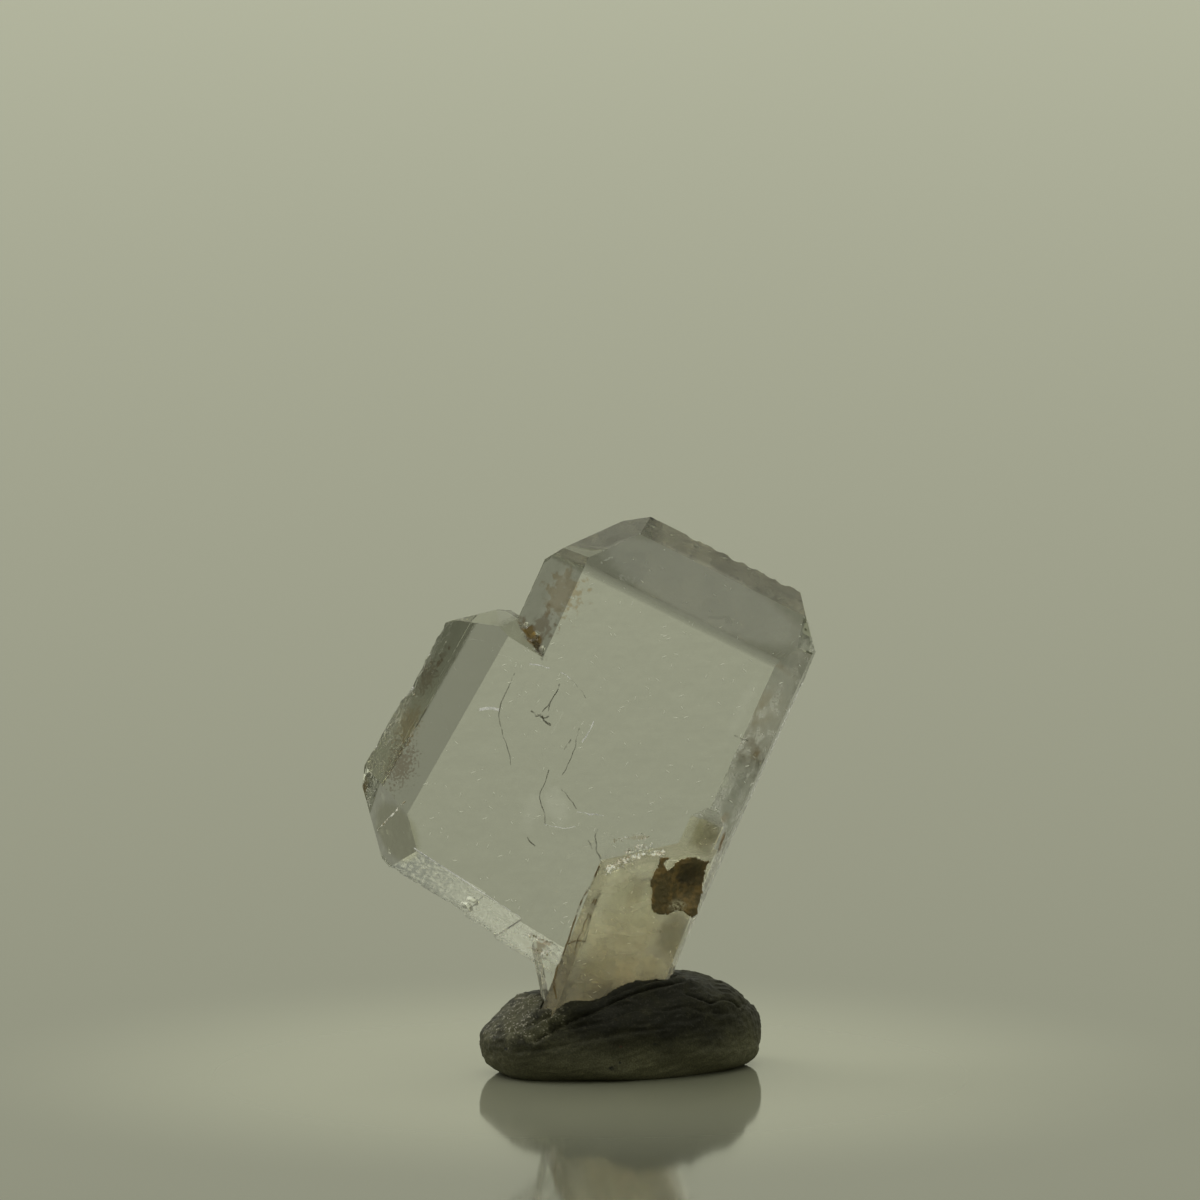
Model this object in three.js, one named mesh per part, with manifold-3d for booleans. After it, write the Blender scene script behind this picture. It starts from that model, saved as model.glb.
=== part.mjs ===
// A thumbnail quartz twin after the Japan law, standing in a lump of grey mineral putty.
// Millimetres, +Z up. The plate of the twin stands parallel to the XZ plane, with its front face towards -Y.
// The origin is on the ground, under the middle of the whole thing.
import * as THREE from 'three';
import { mergeVertices } from 'three/addons/utils/BufferGeometryUtils.js';
import Module from 'manifold-3d';

const wasm = await Module();
wasm.setup();

// Quartz: the c to a ratio of its lattice, the turn from one prism face to the next, and the angle between the
// c axes of a Japan law twin, in degrees
const AXIAL_RATIO = 1.1001;
const SIDE_TURN = 60;
const TWIN_ANGLE = 84.55;
const RHOMB_TILT = Math.atan((2 / Math.sqrt(3)) * AXIAL_RATIO);

// The plate of the twin, the notch between its two individuals on the front face, and their c axes in the plate
const PLATE = { front: -1.3, back: 1.3 };
const NOTCH = { x: -2.285, z: 14.92 };
const RIGHT_AXIS = 63.5;
const LEFT_AXIS = RIGHT_AXIS + TWIN_ANGLE;

// Side faces come in pairs, one from the front and one from the back, that meet in a ridge round the plate. A pair
// has its kind, its turn about the c axis, the distance from the notch to its edge on the front face, and the
// depth of its ridge under the front face.
const RIGHT_FACES = [
  { rhomb: true, turn: 0, edge: 5.3, ridge: 0.6 },
  { rhomb: true, turn: -SIDE_TURN, edge: 2.5, ridge: 1.02 },
  { rhomb: true, turn: SIDE_TURN, edge: 9.85, ridge: 0.83 },
  { rhomb: false, turn: -SIDE_TURN, edge: -0.05, ridge: 1.5 },
];
const RIGHT_SIDE = { rhomb: false, turn: SIDE_TURN, edge: 9.31, ridge: 0.94 };
const LEFT_FACES = [
  { rhomb: true, turn: 0, edge: 1.47, ridge: 1.37 },
  { rhomb: true, turn: SIDE_TURN, edge: 1.18, ridge: 1.25 },
  { rhomb: true, turn: -SIDE_TURN, edge: 6.3, ridge: 1.75 },
  { rhomb: false, turn: SIDE_TURN, edge: -0.07, ridge: 1.75 },
];
const LEFT_SIDE = { rhomb: false, turn: -SIDE_TURN, edge: 8.09, ridge: 1.5 };

// Growth ledges on the left individual's lower side: where each starts along the c axis, how far it stands out,
// and how its step leans
const LEDGES = [
  { start: -2.55, out: 0.11, lean: 12 },
  { start: -4.2, out: 0.24, lean: 3 },
];

// The milky stub crystal that stands out of the front and the back of the foot, with its broken top
const STUB = { axis: 67, front: -1.75, back: 1.5 };
const STUB_SIDES = [
  { rhomb: false, turn: -SIDE_TURN, edge: -5.12, ridge: 0.5 },
  { rhomb: false, turn: SIDE_TURN, edge: 8.62, ridge: 1.39 },
];
const STUB_BREAKS = [
  { x: 3.6, y: PLATE.front, z: -7.08, rise: 9, lean: -38 },
  { x: 5.7, y: PLATE.front, z: -6.95, rise: -12, lean: -30 },
  { x: 4.5, y: PLATE.back, z: -8.2, rise: -4, lean: 42 },
];

// The small crystal tip above the stub, and the pit in the stub's front below it
const TIP = { front: -1.65, back: 0 };
const TIP_FACES = [
  { rhomb: true, turn: 0, edge: -2.72, ridge: 0.4 },
  { rhomb: true, turn: -SIDE_TURN, edge: -7.66, ridge: 0.45 },
  { rhomb: true, turn: SIDE_TURN, edge: 4.7, ridge: 0.45 },
  { rhomb: false, turn: -SIDE_TURN, edge: -7.84, ridge: 0.5 },
  { rhomb: false, turn: SIDE_TURN, edge: 8.75, ridge: 0.5 },
];
const TIP_END = -4.6;
const PIT = { width: 1.75, height: 1.6, depth: 0.3, x: 5.3, z: -8.3, turn: -9, tilt: 8 };

// The sliver crystal under the left individual
const SLIVER = { axis: 102, radius: 0.42, flat: 0.8, length: 3.3, x: 0.5, y: -0.6, z: -11.35 };

// Where the feet of the crystals are broken off, above the ground
const FOOT = 1.7;

// Shell-shaped chips along the ridges. Each row has the ridge it follows, the first and last place along it, how
// many chips there are, their radius, and the least and most that they cut in.
const CHIP_ROWS = [
  { axis: RIGHT_AXIS, face: RIGHT_FACES[0], from: 3.6, to: 8.1, count: 9, radius: 0.55, cut: [0.03, 0.1] },
  { axis: LEFT_AXIS, face: LEFT_FACES[0], from: -5.6, to: -3.9, count: 3, radius: 0.8, cut: [0.02, 0.08] },
  { axis: LEFT_AXIS, face: LEFT_FACES[0], from: -3.2, to: -2.3, count: 2, radius: 1.1, cut: [0.14, 0.2] },
  { axis: LEFT_AXIS, face: LEFT_FACES[0], from: -1.9, to: -0.9, count: 3, radius: 0.6, cut: [0.04, 0.1] },
  { axis: LEFT_AXIS, face: LEFT_SIDE, from: -2.2, to: 0.1, count: 4, radius: 0.5, cut: [0.03, 0.07] },
  { axis: RIGHT_AXIS, face: RIGHT_SIDE, from: -4.3, to: -3.7, count: 2, radius: 0.6, cut: [0.16, 0.3] },
  { axis: RIGHT_AXIS, face: RIGHT_SIDE, from: -2.4, to: 2.6, count: 4, radius: 0.4, cut: [0.02, 0.05] },
];
const CHIP_DETAIL = 2;

// The waves that set where each chip lies in its row and how deep it cuts, and how far it strays from an even row
const CHIP_WAVES = { place: 5.1, stray: 0.3, depth: 2.3, start: 1 };

// The putty: an oval lump, higher at its right end and pressed flat underneath, with swellings where it was pushed
// up round the crystal, and one crease along its front
const PUTTY = {
  x: 1.27, y: -0.025, halfLength: 5.18, halfDepth: 3.12,
  crest: 3.3, crestSlope: 0.65, waist: 1.15, waistSlope: 0.15, belly: 0.55,
  crestRound: 0.77, bellyRound: 0.65,
};
const SWELLINGS = [
  { x: -2.35, y: 0.65, reach: 1.2, height: 0.45 },
  { x: -1.75, y: -2, reach: 1.1, height: 0.6 },
  { x: 0.55, y: -2, reach: 1, height: 0.3 },
  { x: 2.15, y: -2, reach: 1.4, height: 0.35 },
];
const CREASE = { from: [-2.55, 1.5], to: [4.65, 2.95], bow: 0.35, width: 0.3, depth: 0.16 };

// The waves of the lump's uneven surface and their height, the number of its facets, and its gap to the crystal
const LUMP_HEIGHT = 0.05;
const LUMP_WAVES = [
  { x: 5, y: 0, z: 3, start: 0 },
  { x: -4, y: 7, z: 0, start: 1 },
  { x: 6, y: 0, z: 9, start: 0 },
];
const LUMP_FACETS = { round: 72, rise: 40 };
const CLEARANCE = 0.06;

// Directions, the size of the blocks that cut the solids, and the shortest edge that a mesh keeps
const UP = new THREE.Vector3(0, 0, 1);
const FORWARD = new THREE.Vector3(0, -1, 0);
const BLOCK = 60;
const SHORTEST_EDGE = 0.015;

// A closed geometry as a solid that can be joined and cut.
function solidOf(geometry) {
  const bare = geometry.clone();
  bare.deleteAttribute('normal');
  bare.deleteAttribute('uv');
  const merged = mergeVertices(bare);
  const vertProperties = Float32Array.from(merged.attributes.position.array);
  const triVerts = Uint32Array.from(merged.index.array);
  return new wasm.Manifold(new wasm.Mesh({ numProp: 3, vertProperties, triVerts }));
}

// The triangles of a mesh once each of its edges that is shorter than a limit is drawn together to a point. An edge
// stays where its ends share more neighbours than the two across it, because the surface would pinch there.
function withoutShortEdges(vertProperties, triVerts, limit) {
  const corner = (vertex) => new THREE.Vector3().fromArray(vertProperties, 3 * vertex);
  let faces = Array.from({ length: triVerts.length / 3 }, (_, face) => [...triVerts.slice(3 * face, 3 * face + 3)]);
  let found = true;
  while (found) {
    found = false;
    const near = new Map();
    for (const face of faces) {
      face.forEach((vertex, place) => {
        const others = near.get(vertex) ?? new Set();
        others.add(face[(place + 1) % 3]).add(face[(place + 2) % 3]);
        near.set(vertex, others);
      });
    }
    const touched = new Set();
    const moved = new Map();
    for (const [kept, others] of near) {
      for (const gone of others) {
        const shared = [...others].filter((other) => near.get(gone).has(other));
        const free = ![kept, gone, ...others, ...near.get(gone)].some((vertex) => touched.has(vertex));
        if (free && shared.length === 2 && corner(kept).distanceTo(corner(gone)) < limit) {
          [kept, gone, ...others, ...near.get(gone)].forEach((vertex) => touched.add(vertex));
          moved.set(gone, kept);
        }
      }
    }
    if (moved.size > 0) {
      found = true;
      faces = faces.map((face) => face.map((vertex) => moved.get(vertex) ?? vertex));
      faces = faces.filter(([a, b, c]) => a !== b && b !== c && a !== c);
    }
  }
  return faces.flat();
}

function geometryOf(solid) {
  const { vertProperties, triVerts } = solid.getMesh();
  const geometry = new THREE.BufferGeometry();
  geometry.setAttribute('position', new THREE.BufferAttribute(vertProperties, 3));
  geometry.setIndex(withoutShortEdges(vertProperties, triVerts, SHORTEST_EDGE));
  geometry.computeVertexNormals();
  return geometry;
}

function common(solids) {
  return solids.reduce((kept, solid) => kept.intersect(solid));
}

function joined(solids) {
  return solids.reduce((whole, solid) => whole.add(solid));
}

// Everything behind a plane, as one large block.
function behind(normal, point) {
  const block = new THREE.BoxGeometry(BLOCK, BLOCK, BLOCK).translate(0, 0, -BLOCK / 2);
  block.applyQuaternion(new THREE.Quaternion().setFromUnitVectors(UP, normal));
  block.translate(point.x, point.y, point.z);
  return solidOf(block);
}

// The directions of a crystal in the plate: along its c axis, and across it.
function directions(axis) {
  const angle = THREE.MathUtils.degToRad(axis);
  return {
    along: new THREE.Vector3(Math.cos(angle), 0, Math.sin(angle)),
    across: new THREE.Vector3(Math.sin(angle), 0, -Math.cos(angle)),
  };
}

function faceNormal(axis, face) {
  const { along, across } = directions(axis);
  const turn = THREE.MathUtils.degToRad(face.turn);
  const normal = FORWARD.clone().multiplyScalar(Math.cos(turn)).addScaledVector(across, Math.sin(turn));
  if (face.rhomb) {
    normal.multiplyScalar(Math.sin(RHOMB_TILT)).addScaledVector(along, Math.cos(RHOMB_TILT));
  }
  return normal;
}

// The ridge of a face pair: its direction out of the plate, how much the face widens with depth, and its distance
// from the notch.
function ridgeOf(axis, face) {
  const normal = faceNormal(axis, face);
  const outward = normal.clone().setY(0);
  const widening = -normal.y / outward.length();
  return { normal, outward: outward.normalize(), widening, distance: face.edge + widening * face.ridge };
}

function fromNotch(direction, distance, y) {
  return new THREE.Vector3(NOTCH.x, y, NOTCH.z).addScaledVector(direction, distance);
}

// The wedge between the two faces of a pair, for a crystal whose own front and back faces are at the given depths.
function wedge(axis, face, slab, grow) {
  const { normal, outward, widening, distance } = ridgeOf(axis, face);
  const backNormal = normal.clone().setY(-normal.y);
  const backEdge = distance - widening * (slab.back - slab.front - face.ridge);
  const frontPoint = fromNotch(outward, face.edge, slab.front).addScaledVector(normal, grow);
  const backPoint = fromNotch(outward, backEdge, slab.back).addScaledVector(backNormal, grow);
  return behind(normal, frontPoint).intersect(behind(backNormal, backPoint));
}

function plate(slab, grow) {
  const front = behind(FORWARD, new THREE.Vector3(0, slab.front - grow, 0));
  const back = behind(FORWARD.clone().negate(), new THREE.Vector3(0, slab.back + grow, 0));
  return front.intersect(back);
}

// The left individual's lower side from a given place on, standing out a little more than before it.
function ledge(out, start, lean, grow) {
  const side = wedge(LEFT_AXIS, { ...LEFT_SIDE, edge: LEFT_SIDE.edge + out }, PLATE, grow);
  const { along } = directions(LEFT_AXIS);
  const normal = along.clone().addScaledVector(FORWARD, -Math.tan(THREE.MathUtils.degToRad(lean))).normalize();
  return side.intersect(behind(normal, fromNotch(along, start, PLATE.front)));
}

// The two individuals of the twin. Each ends at the outer side of the other, so the plate comes down to a V.
function twin(grow) {
  const slab = plate(PLATE, grow);
  const rightSide = wedge(RIGHT_AXIS, RIGHT_SIDE, PLATE, grow);
  const leftSide = joined([
    wedge(LEFT_AXIS, LEFT_SIDE, PLATE, grow),
    ...LEDGES.map((step) => ledge(step.out, step.start, step.lean, grow)),
  ]);
  const sides = [slab, rightSide, leftSide];
  const right = common([...sides, ...RIGHT_FACES.map((face) => wedge(RIGHT_AXIS, face, PLATE, grow))]);
  const left = common([...sides, ...LEFT_FACES.map((face) => wedge(LEFT_AXIS, face, PLATE, grow))]);
  return right.add(left);
}

function stub(grow) {
  const sides = STUB_SIDES.map((face) => wedge(STUB.axis, face, STUB, grow));
  const breaks = STUB_BREAKS.map(({ x, y, z, rise, lean }) => {
    const turn = new THREE.Euler(THREE.MathUtils.degToRad(-lean), THREE.MathUtils.degToRad(-rise), 0, 'YXZ');
    const point = new THREE.Vector3(NOTCH.x + x, y, NOTCH.z + z);
    return behind(UP.clone().applyEuler(turn), point);
  });
  return common([plate(STUB, grow), ...sides, ...breaks]);
}

function tip() {
  const { along } = directions(RIGHT_AXIS);
  const end = behind(along.clone().negate(), fromNotch(along, TIP_END, 0));
  return common([plate(TIP, 0), end, ...TIP_FACES.map((face) => wedge(RIGHT_AXIS, face, TIP, 0))]);
}

function pit() {
  const box = new THREE.BoxGeometry(PIT.width, PIT.depth * 2, PIT.height);
  box.rotateX(THREE.MathUtils.degToRad(PIT.tilt));
  box.rotateY(THREE.MathUtils.degToRad(-PIT.turn));
  box.translate(NOTCH.x + PIT.x, STUB.front, NOTCH.z + PIT.z);
  return solidOf(box);
}

function sliver(grow) {
  const prism = new THREE.CylinderGeometry(SLIVER.radius + grow, SLIVER.radius + grow, SLIVER.length, 6);
  prism.scale(1, 1, SLIVER.flat);
  prism.rotateX(Math.PI / 2);
  prism.rotateY(THREE.MathUtils.degToRad(90 - SLIVER.axis));
  prism.translate(NOTCH.x + SLIVER.x, SLIVER.y, NOTCH.z + SLIVER.z);
  return solidOf(prism);
}

function chips() {
  return joined(CHIP_ROWS.flatMap(({ axis, face, from, to, count, radius, cut }) => {
    const { outward, distance } = ridgeOf(axis, face);
    const beside = new THREE.Vector3(outward.z, 0, -outward.x);
    return Array.from({ length: count }, (_, index) => {
      const step = index + CHIP_WAVES.stray * Math.sin(CHIP_WAVES.place * index);
      const place = from + ((to - from) * step) / (count - 1);
      const depth = cut[0] + (cut[1] - cut[0]) * Math.sin(CHIP_WAVES.depth * index + CHIP_WAVES.start) ** 2;
      const centre = fromNotch(outward, distance + radius - depth, PLATE.front + face.ridge);
      centre.addScaledVector(beside, place);
      const shell = new THREE.IcosahedronGeometry(radius, CHIP_DETAIL);
      shell.rotateY(index).rotateX(2 * index);
      return solidOf(shell.translate(centre.x, centre.y, centre.z));
    });
  }));
}

// Everything that grew on the foot, without the breakage of its edges.
function crystals(grow) {
  const ground = behind(UP.clone().negate(), new THREE.Vector3(0, 0, FOOT - grow));
  return joined([twin(grow), stub(grow), sliver(grow)]).intersect(ground);
}

// A point of the unit sphere as a point of the lump.
function puttyPoint(x, y, z) {
  const waist = PUTTY.waist + PUTTY.waistSlope * x;
  const crest = PUTTY.crest + PUTTY.crestSlope * x;
  const waves = LUMP_WAVES.map((wave) => Math.sin(wave.x * x + wave.y * y + wave.z * z + wave.start));
  const lumps = LUMP_HEIGHT * waves.reduce((sum, wave) => sum + wave, 0);
  const height = z > 0
    ? waist + (crest - waist) * z ** PUTTY.crestRound
    : waist - (waist + PUTTY.belly) * (-z) ** PUTTY.bellyRound;
  const point = new THREE.Vector3(PUTTY.x + PUTTY.halfLength * x, PUTTY.y + PUTTY.halfDepth * y, height);
  const out = new THREE.Vector3(x / PUTTY.halfLength, y / PUTTY.halfDepth, z / PUTTY.crest).normalize();
  const along = (point.x - CREASE.from[0]) / (CREASE.to[0] - CREASE.from[0]);
  const line = CREASE.from[1] + (CREASE.to[1] - CREASE.from[1]) * along + CREASE.bow * 4 * along * (1 - along);
  const inRange = along > 0 && along < 1 && y < 0;
  const crease = inRange ? CREASE.depth * Math.exp(-(((height - line) / CREASE.width) ** 2)) : 0;
  const swelling = SWELLINGS.reduce((sum, swell) => {
    const away = Math.hypot(point.x - swell.x, point.y - swell.y) / swell.reach;
    return sum + swell.height * Math.exp(-away * away);
  }, 0);
  point.z += z > 0 ? swelling * Math.sqrt(z) : 0;
  return point.addScaledVector(out, lumps - crease);
}

function puttyLump() {
  const sphere = new THREE.SphereGeometry(1, LUMP_FACETS.round, LUMP_FACETS.rise).rotateX(Math.PI / 2);
  const places = sphere.attributes.position;
  for (let index = 0; index < places.count; index += 1) {
    const point = puttyPoint(places.getX(index), places.getY(index), places.getZ(index));
    places.setXYZ(index, point.x, point.y, point.z);
  }
  const ground = behind(UP.clone().negate(), new THREE.Vector3(0, 0, 0));
  return solidOf(sphere).intersect(ground);
}

function part(name, solid, material) {
  const mesh = new THREE.Mesh(geometryOf(solid), new THREE.MeshStandardMaterial(material));
  mesh.name = name;
  return mesh;
}

const specimen = crystals(0).add(tip()).subtract(chips()).subtract(pit());
const holder = puttyLump().subtract(crystals(CLEARANCE));

const group = new THREE.Group();
group.add(
  part('twin_crystal', specimen, { color: 0xd9dcd2, roughness: 0.05, metalness: 0, transparent: true, opacity: 0.4 }),
  part('putty', holder, { color: 0x3b3a2e, roughness: 0.7, metalness: 0 }),
);

export default group;
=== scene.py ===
"""A thumbnail quartz twin after the Japan law, standing in a lump of grey mineral putty.

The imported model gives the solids. This script dresses them: a glass body with nicked edges, worn and milky
zones, iron stains and healed cracks, and a kneaded lump of putty, under plain studio light.
"""

from __future__ import annotations

import logging
import math
import random
from dataclasses import dataclass
from enum import Enum

import bmesh
import bpy
from mathutils import Euler, Matrix, Vector, noise
from mathutils.bvhtree import BVHTree


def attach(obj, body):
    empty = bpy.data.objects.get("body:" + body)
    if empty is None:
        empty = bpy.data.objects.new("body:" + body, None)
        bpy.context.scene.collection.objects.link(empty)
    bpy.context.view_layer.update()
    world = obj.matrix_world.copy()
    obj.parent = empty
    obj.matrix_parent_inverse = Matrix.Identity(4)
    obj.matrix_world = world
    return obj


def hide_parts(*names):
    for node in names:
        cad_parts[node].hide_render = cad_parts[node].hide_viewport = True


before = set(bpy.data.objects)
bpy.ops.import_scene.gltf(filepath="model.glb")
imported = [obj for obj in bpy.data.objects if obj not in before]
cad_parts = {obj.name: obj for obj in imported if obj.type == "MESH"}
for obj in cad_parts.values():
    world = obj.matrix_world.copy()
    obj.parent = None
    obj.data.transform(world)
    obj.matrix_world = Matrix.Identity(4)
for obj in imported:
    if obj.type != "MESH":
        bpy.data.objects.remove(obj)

log = logging.getLogger("quartz_twin")
MM = 0.001
BODY = "root"

NOISE_SEED = 5

# In mm: how near points are merged, half the plate's thickness, the fronts of the stub and of the tip, the
# floor of the pit, and the bed of the crust in it
MERGE = 0.002
PLATE_HALF = 1.3
STUB_FRONT = -1.75
TIP_FRONT = -1.65
PIT_FLOOR = -1.45
CRUST_BED = PIT_FLOOR - 0.1

# The turns of the c axes of the right and the left crystal, the first axis and the way to its right, and the
# way out of the left crystal's underside
RIGHT_TURN, LEFT_TURN = math.radians(63.5), math.radians(148.05)
A_AXIS = Vector((math.cos(RIGHT_TURN), 0, math.sin(RIGHT_TURN)))
A_RIGHT = Vector((A_AXIS.z, 0, -A_AXIS.x))
B_UNDER = Vector((-math.sin(LEFT_TURN), 0, math.cos(LEFT_TURN)))

# How far the line of sight moves to the right and down for each mm of depth inside the glass
SIGHT = (0.249, -0.07)

BLACK = (0.0, 0.0, 0.0)
Colour = tuple[float, float, float]
Socket = bpy.types.NodeSocket


class Wiring:
    """Short ways to add and join the nodes of one tree."""

    def __init__(self, tree: bpy.types.NodeTree) -> None:
        """Keep the tree that the nodes go into."""
        self.tree = tree
        self.clouds: dict[float, Socket] = {}

    def feed(self, socket: Socket, value: object) -> None:
        """Link a socket to another one, or give it a plain value.

        Args:
            socket: The input to set.
            value: An output socket, a number, or a tuple for a vector or a colour.
        """
        if isinstance(value, bpy.types.NodeSocket):
            self.tree.links.new(value, socket)
        elif socket.type == "RGBA" and len(value) == 3:
            socket.default_value = (*value, 1.0)
        else:
            socket.default_value = value

    def node(self, kind: str, feeds: dict | None = None, **settings: object) -> bpy.types.Node:
        """Add one node.

        Args:
            kind: Blender's name of the node type.
            feeds: Values or sockets by input name.
            **settings: Properties of the node itself.

        Returns:
            The new node.
        """
        node = self.tree.nodes.new(kind)
        for name, value in settings.items():
            setattr(node, name, value)
        self.dress(node, feeds or {})
        return node

    def math(self, operation: str, *values: object, clamp: bool = False) -> Socket:
        """Add a Math node.

        Args:
            operation: Its operation.
            *values: Its inputs in order.
            clamp: Whether the result stays between 0 and 1.

        Returns:
            The result.
        """
        node = self.node("ShaderNodeMath", operation=operation, use_clamp=clamp)
        for socket, value in zip(node.inputs, values):
            self.feed(socket, value)
        return node.outputs[0]

    def vector(self, operation: str, *values: object) -> bpy.types.Node:
        """Add a Vector Math node.

        Args:
            operation: Its operation.
            *values: Its inputs in order.

        Returns:
            The node, because its result may be a vector or a number.
        """
        node = self.node("ShaderNodeVectorMath", operation=operation)
        for socket, value in zip(node.inputs, values):
            self.feed(socket, value)
        return node

    def fold(self, operation: str, values: tuple[object, ...]) -> Socket:
        """Join values one after the other.

        Args:
            operation: The Math node's operation.
            values: The values.

        Returns:
            The result.
        """
        total, *others = values
        for value in others:
            total = self.math(operation, total, value)
        return total

    def times(self, *values: object) -> Socket:
        """Return the product of several values."""
        return self.fold("MULTIPLY", values)

    def plus(self, *values: object) -> Socket:
        """Return the sum of several values."""
        return self.fold("ADD", values)

    def most(self, *values: object) -> Socket:
        """Return the greatest of several values."""
        return self.fold("MAXIMUM", values)

    def axis(self, vector: Socket, name: str) -> Socket:
        """Return one component of a vector."""
        return self.node("ShaderNodeSeparateXYZ", {"Vector": vector}).outputs[name]

    def bump(self, height: Socket, distance: float = MM) -> Socket:
        """Return the normal of a surface that a height raises."""
        feeds = {"Height": height, "Distance": distance, "Strength": 1.0}
        return self.node("ShaderNodeBump", feeds).outputs["Normal"]

    def dress(self, node: bpy.types.Node, feeds: dict[str, object]) -> None:
        """Feed several inputs of a node."""
        for name, value in feeds.items():
            self.feed(node.inputs[name], value)

    def step(
        self, value: object, low: object, high: object, start: object = 0.0, end: object = 1.0,
    ) -> Socket:
        """Add a smooth step.

        Args:
            value: What is mapped.
            low: Where the step starts.
            high: Where it ends.
            start: The result below it.
            end: The result above it.

        Returns:
            The mapped value.
        """
        feeds = {"Value": value, "From Min": low, "From Max": high, "To Min": start, "To Max": end}
        return self.node("ShaderNodeMapRange", feeds, interpolation_type="SMOOTHSTEP").outputs["Result"]

    def blend(self, factor: object, first: object, second: object, how: str = "MIX") -> Socket:
        """Add a mix of two colours.

        Args:
            factor: How much of the second colour there is.
            first: The first colour.
            second: The second colour.
            how: The blend mode.

        Returns:
            The mixed colour.
        """
        node = self.node("ShaderNodeMix", data_type="RGBA", blend_type=how)
        for place, value in ((0, factor), (6, first), (7, second)):
            self.feed(node.inputs[place], value)
        return node.outputs[2]

    def noise(self, vector: object, scale: float, detail: float = 4.0, roughness: float = 0.55) -> Socket:
        """Add a noise texture.

        Args:
            vector: Its coordinates.
            scale: Its scale.
            detail: Its octaves.
            roughness: How strong the fine octaves are.

        Returns:
            Its value, about 0.5 on average.
        """
        feeds = {"Vector": vector, "Scale": scale, "Detail": detail, "Roughness": roughness}
        return self.node("ShaderNodeTexNoise", feeds).outputs["Fac"]

    def shared_noise(self, vector: Socket, scale: float) -> Socket:
        """Return the noise of one scale, which is made once in a tree."""
        if scale not in self.clouds:
            self.clouds[scale] = self.noise(vector, scale)
        return self.clouds[scale]

    def object_mm(self) -> Socket:
        """Return the object coordinates in millimetres."""
        return self.scaled(self.node("ShaderNodeTexCoord").outputs["Object"], 1.0 / MM)

    def scaled(self, vector: Socket, factor: float) -> Socket:
        """Return a vector times a number."""
        node = self.vector("SCALE", vector)
        self.feed(node.inputs["Scale"], factor)
        return node.outputs[0]


def blank(name: str) -> tuple[bpy.types.Material, Wiring, bpy.types.Node]:
    """Make a new material.

    Args:
        name: Its name.

    Returns:
        The material, the wiring of its tree, and its shader.
    """
    material = bpy.data.materials.new(name)
    material.use_nodes = True
    return material, Wiring(material.node_tree), material.node_tree.nodes["Principled BSDF"]


class Group:
    """A node group with named inputs and one or more outputs, built once and placed in many materials."""

    def __init__(self, name: str, inputs: dict[str, tuple[str, object]], outputs: dict[str, str]) -> None:
        """Make the empty group.

        Args:
            name: The group's name.
            inputs: The kind of socket and its value by input name.
            outputs: The kind of socket by output name.
        """
        self.tree = bpy.data.node_groups.new(name, "ShaderNodeTree")
        for label, (kind, value) in inputs.items():
            socket = self.tree.interface.new_socket(label, in_out="INPUT", socket_type=kind)
            if value is not None:
                socket.default_value = value
        for label, kind in outputs.items():
            self.tree.interface.new_socket(label, in_out="OUTPUT", socket_type=kind)
        self.wires = Wiring(self.tree)
        self.inside = self.wires.node("NodeGroupInput").outputs
        self.out = self.wires.node("NodeGroupOutput")

    def place(self, wires: Wiring, **feeds: object) -> bpy.types.bpy_prop_collection:
        """Place the group in a material.

        Args:
            wires: The material's tree.
            **feeds: Values or sockets by input name.

        Returns:
            The placed node's outputs.
        """
        return wires.node("ShaderNodeGroup", feeds, node_tree=self.tree).outputs


# How much the cloudy noise is spread round its mean, and the share of a scratch's width that is solid
CLOUD_SPREAD = 4.0
SOLID_CORE = 0.3


def patch_group() -> Group:
    """Make the group for a ragged patch, such as a stain.

    Returns:
        The group. Its mask is 1 inside an ellipsoid and 0 outside, with a ragged, soft rim.
    """
    vector, number = "NodeSocketVector", "NodeSocketFloat"
    inputs = {
        "Place": (vector, None), "Centre": (vector, None), "Turn": (vector, None),
        "Radius": (vector, (1, 1, 1)), "Ragged": (number, 0.5), "Cloud": (number, 0.5),
        "Soft": (number, 0.5),
    }
    group = Group("Ragged patch", inputs, {"Mask": number})
    wires, inside = group.wires, group.inside
    feeds = {
        "Vector": inside["Place"], "Location": inside["Centre"],
        "Rotation": inside["Turn"], "Scale": inside["Radius"],
    }
    local = wires.node("ShaderNodeMapping", feeds, vector_type="TEXTURE").outputs[0]
    away = wires.vector("LENGTH", local).outputs["Value"]
    rough = wires.math("SUBTRACT", inside["Cloud"], 0.5)
    reach = wires.plus(away, wires.times(rough, inside["Ragged"], CLOUD_SPREAD))
    mask = wires.step(reach, wires.math("SUBTRACT", 1.0, inside["Soft"]), 1.0, 1.0, 0.0)
    wires.feed(group.out.inputs["Mask"], mask)
    return group


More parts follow.
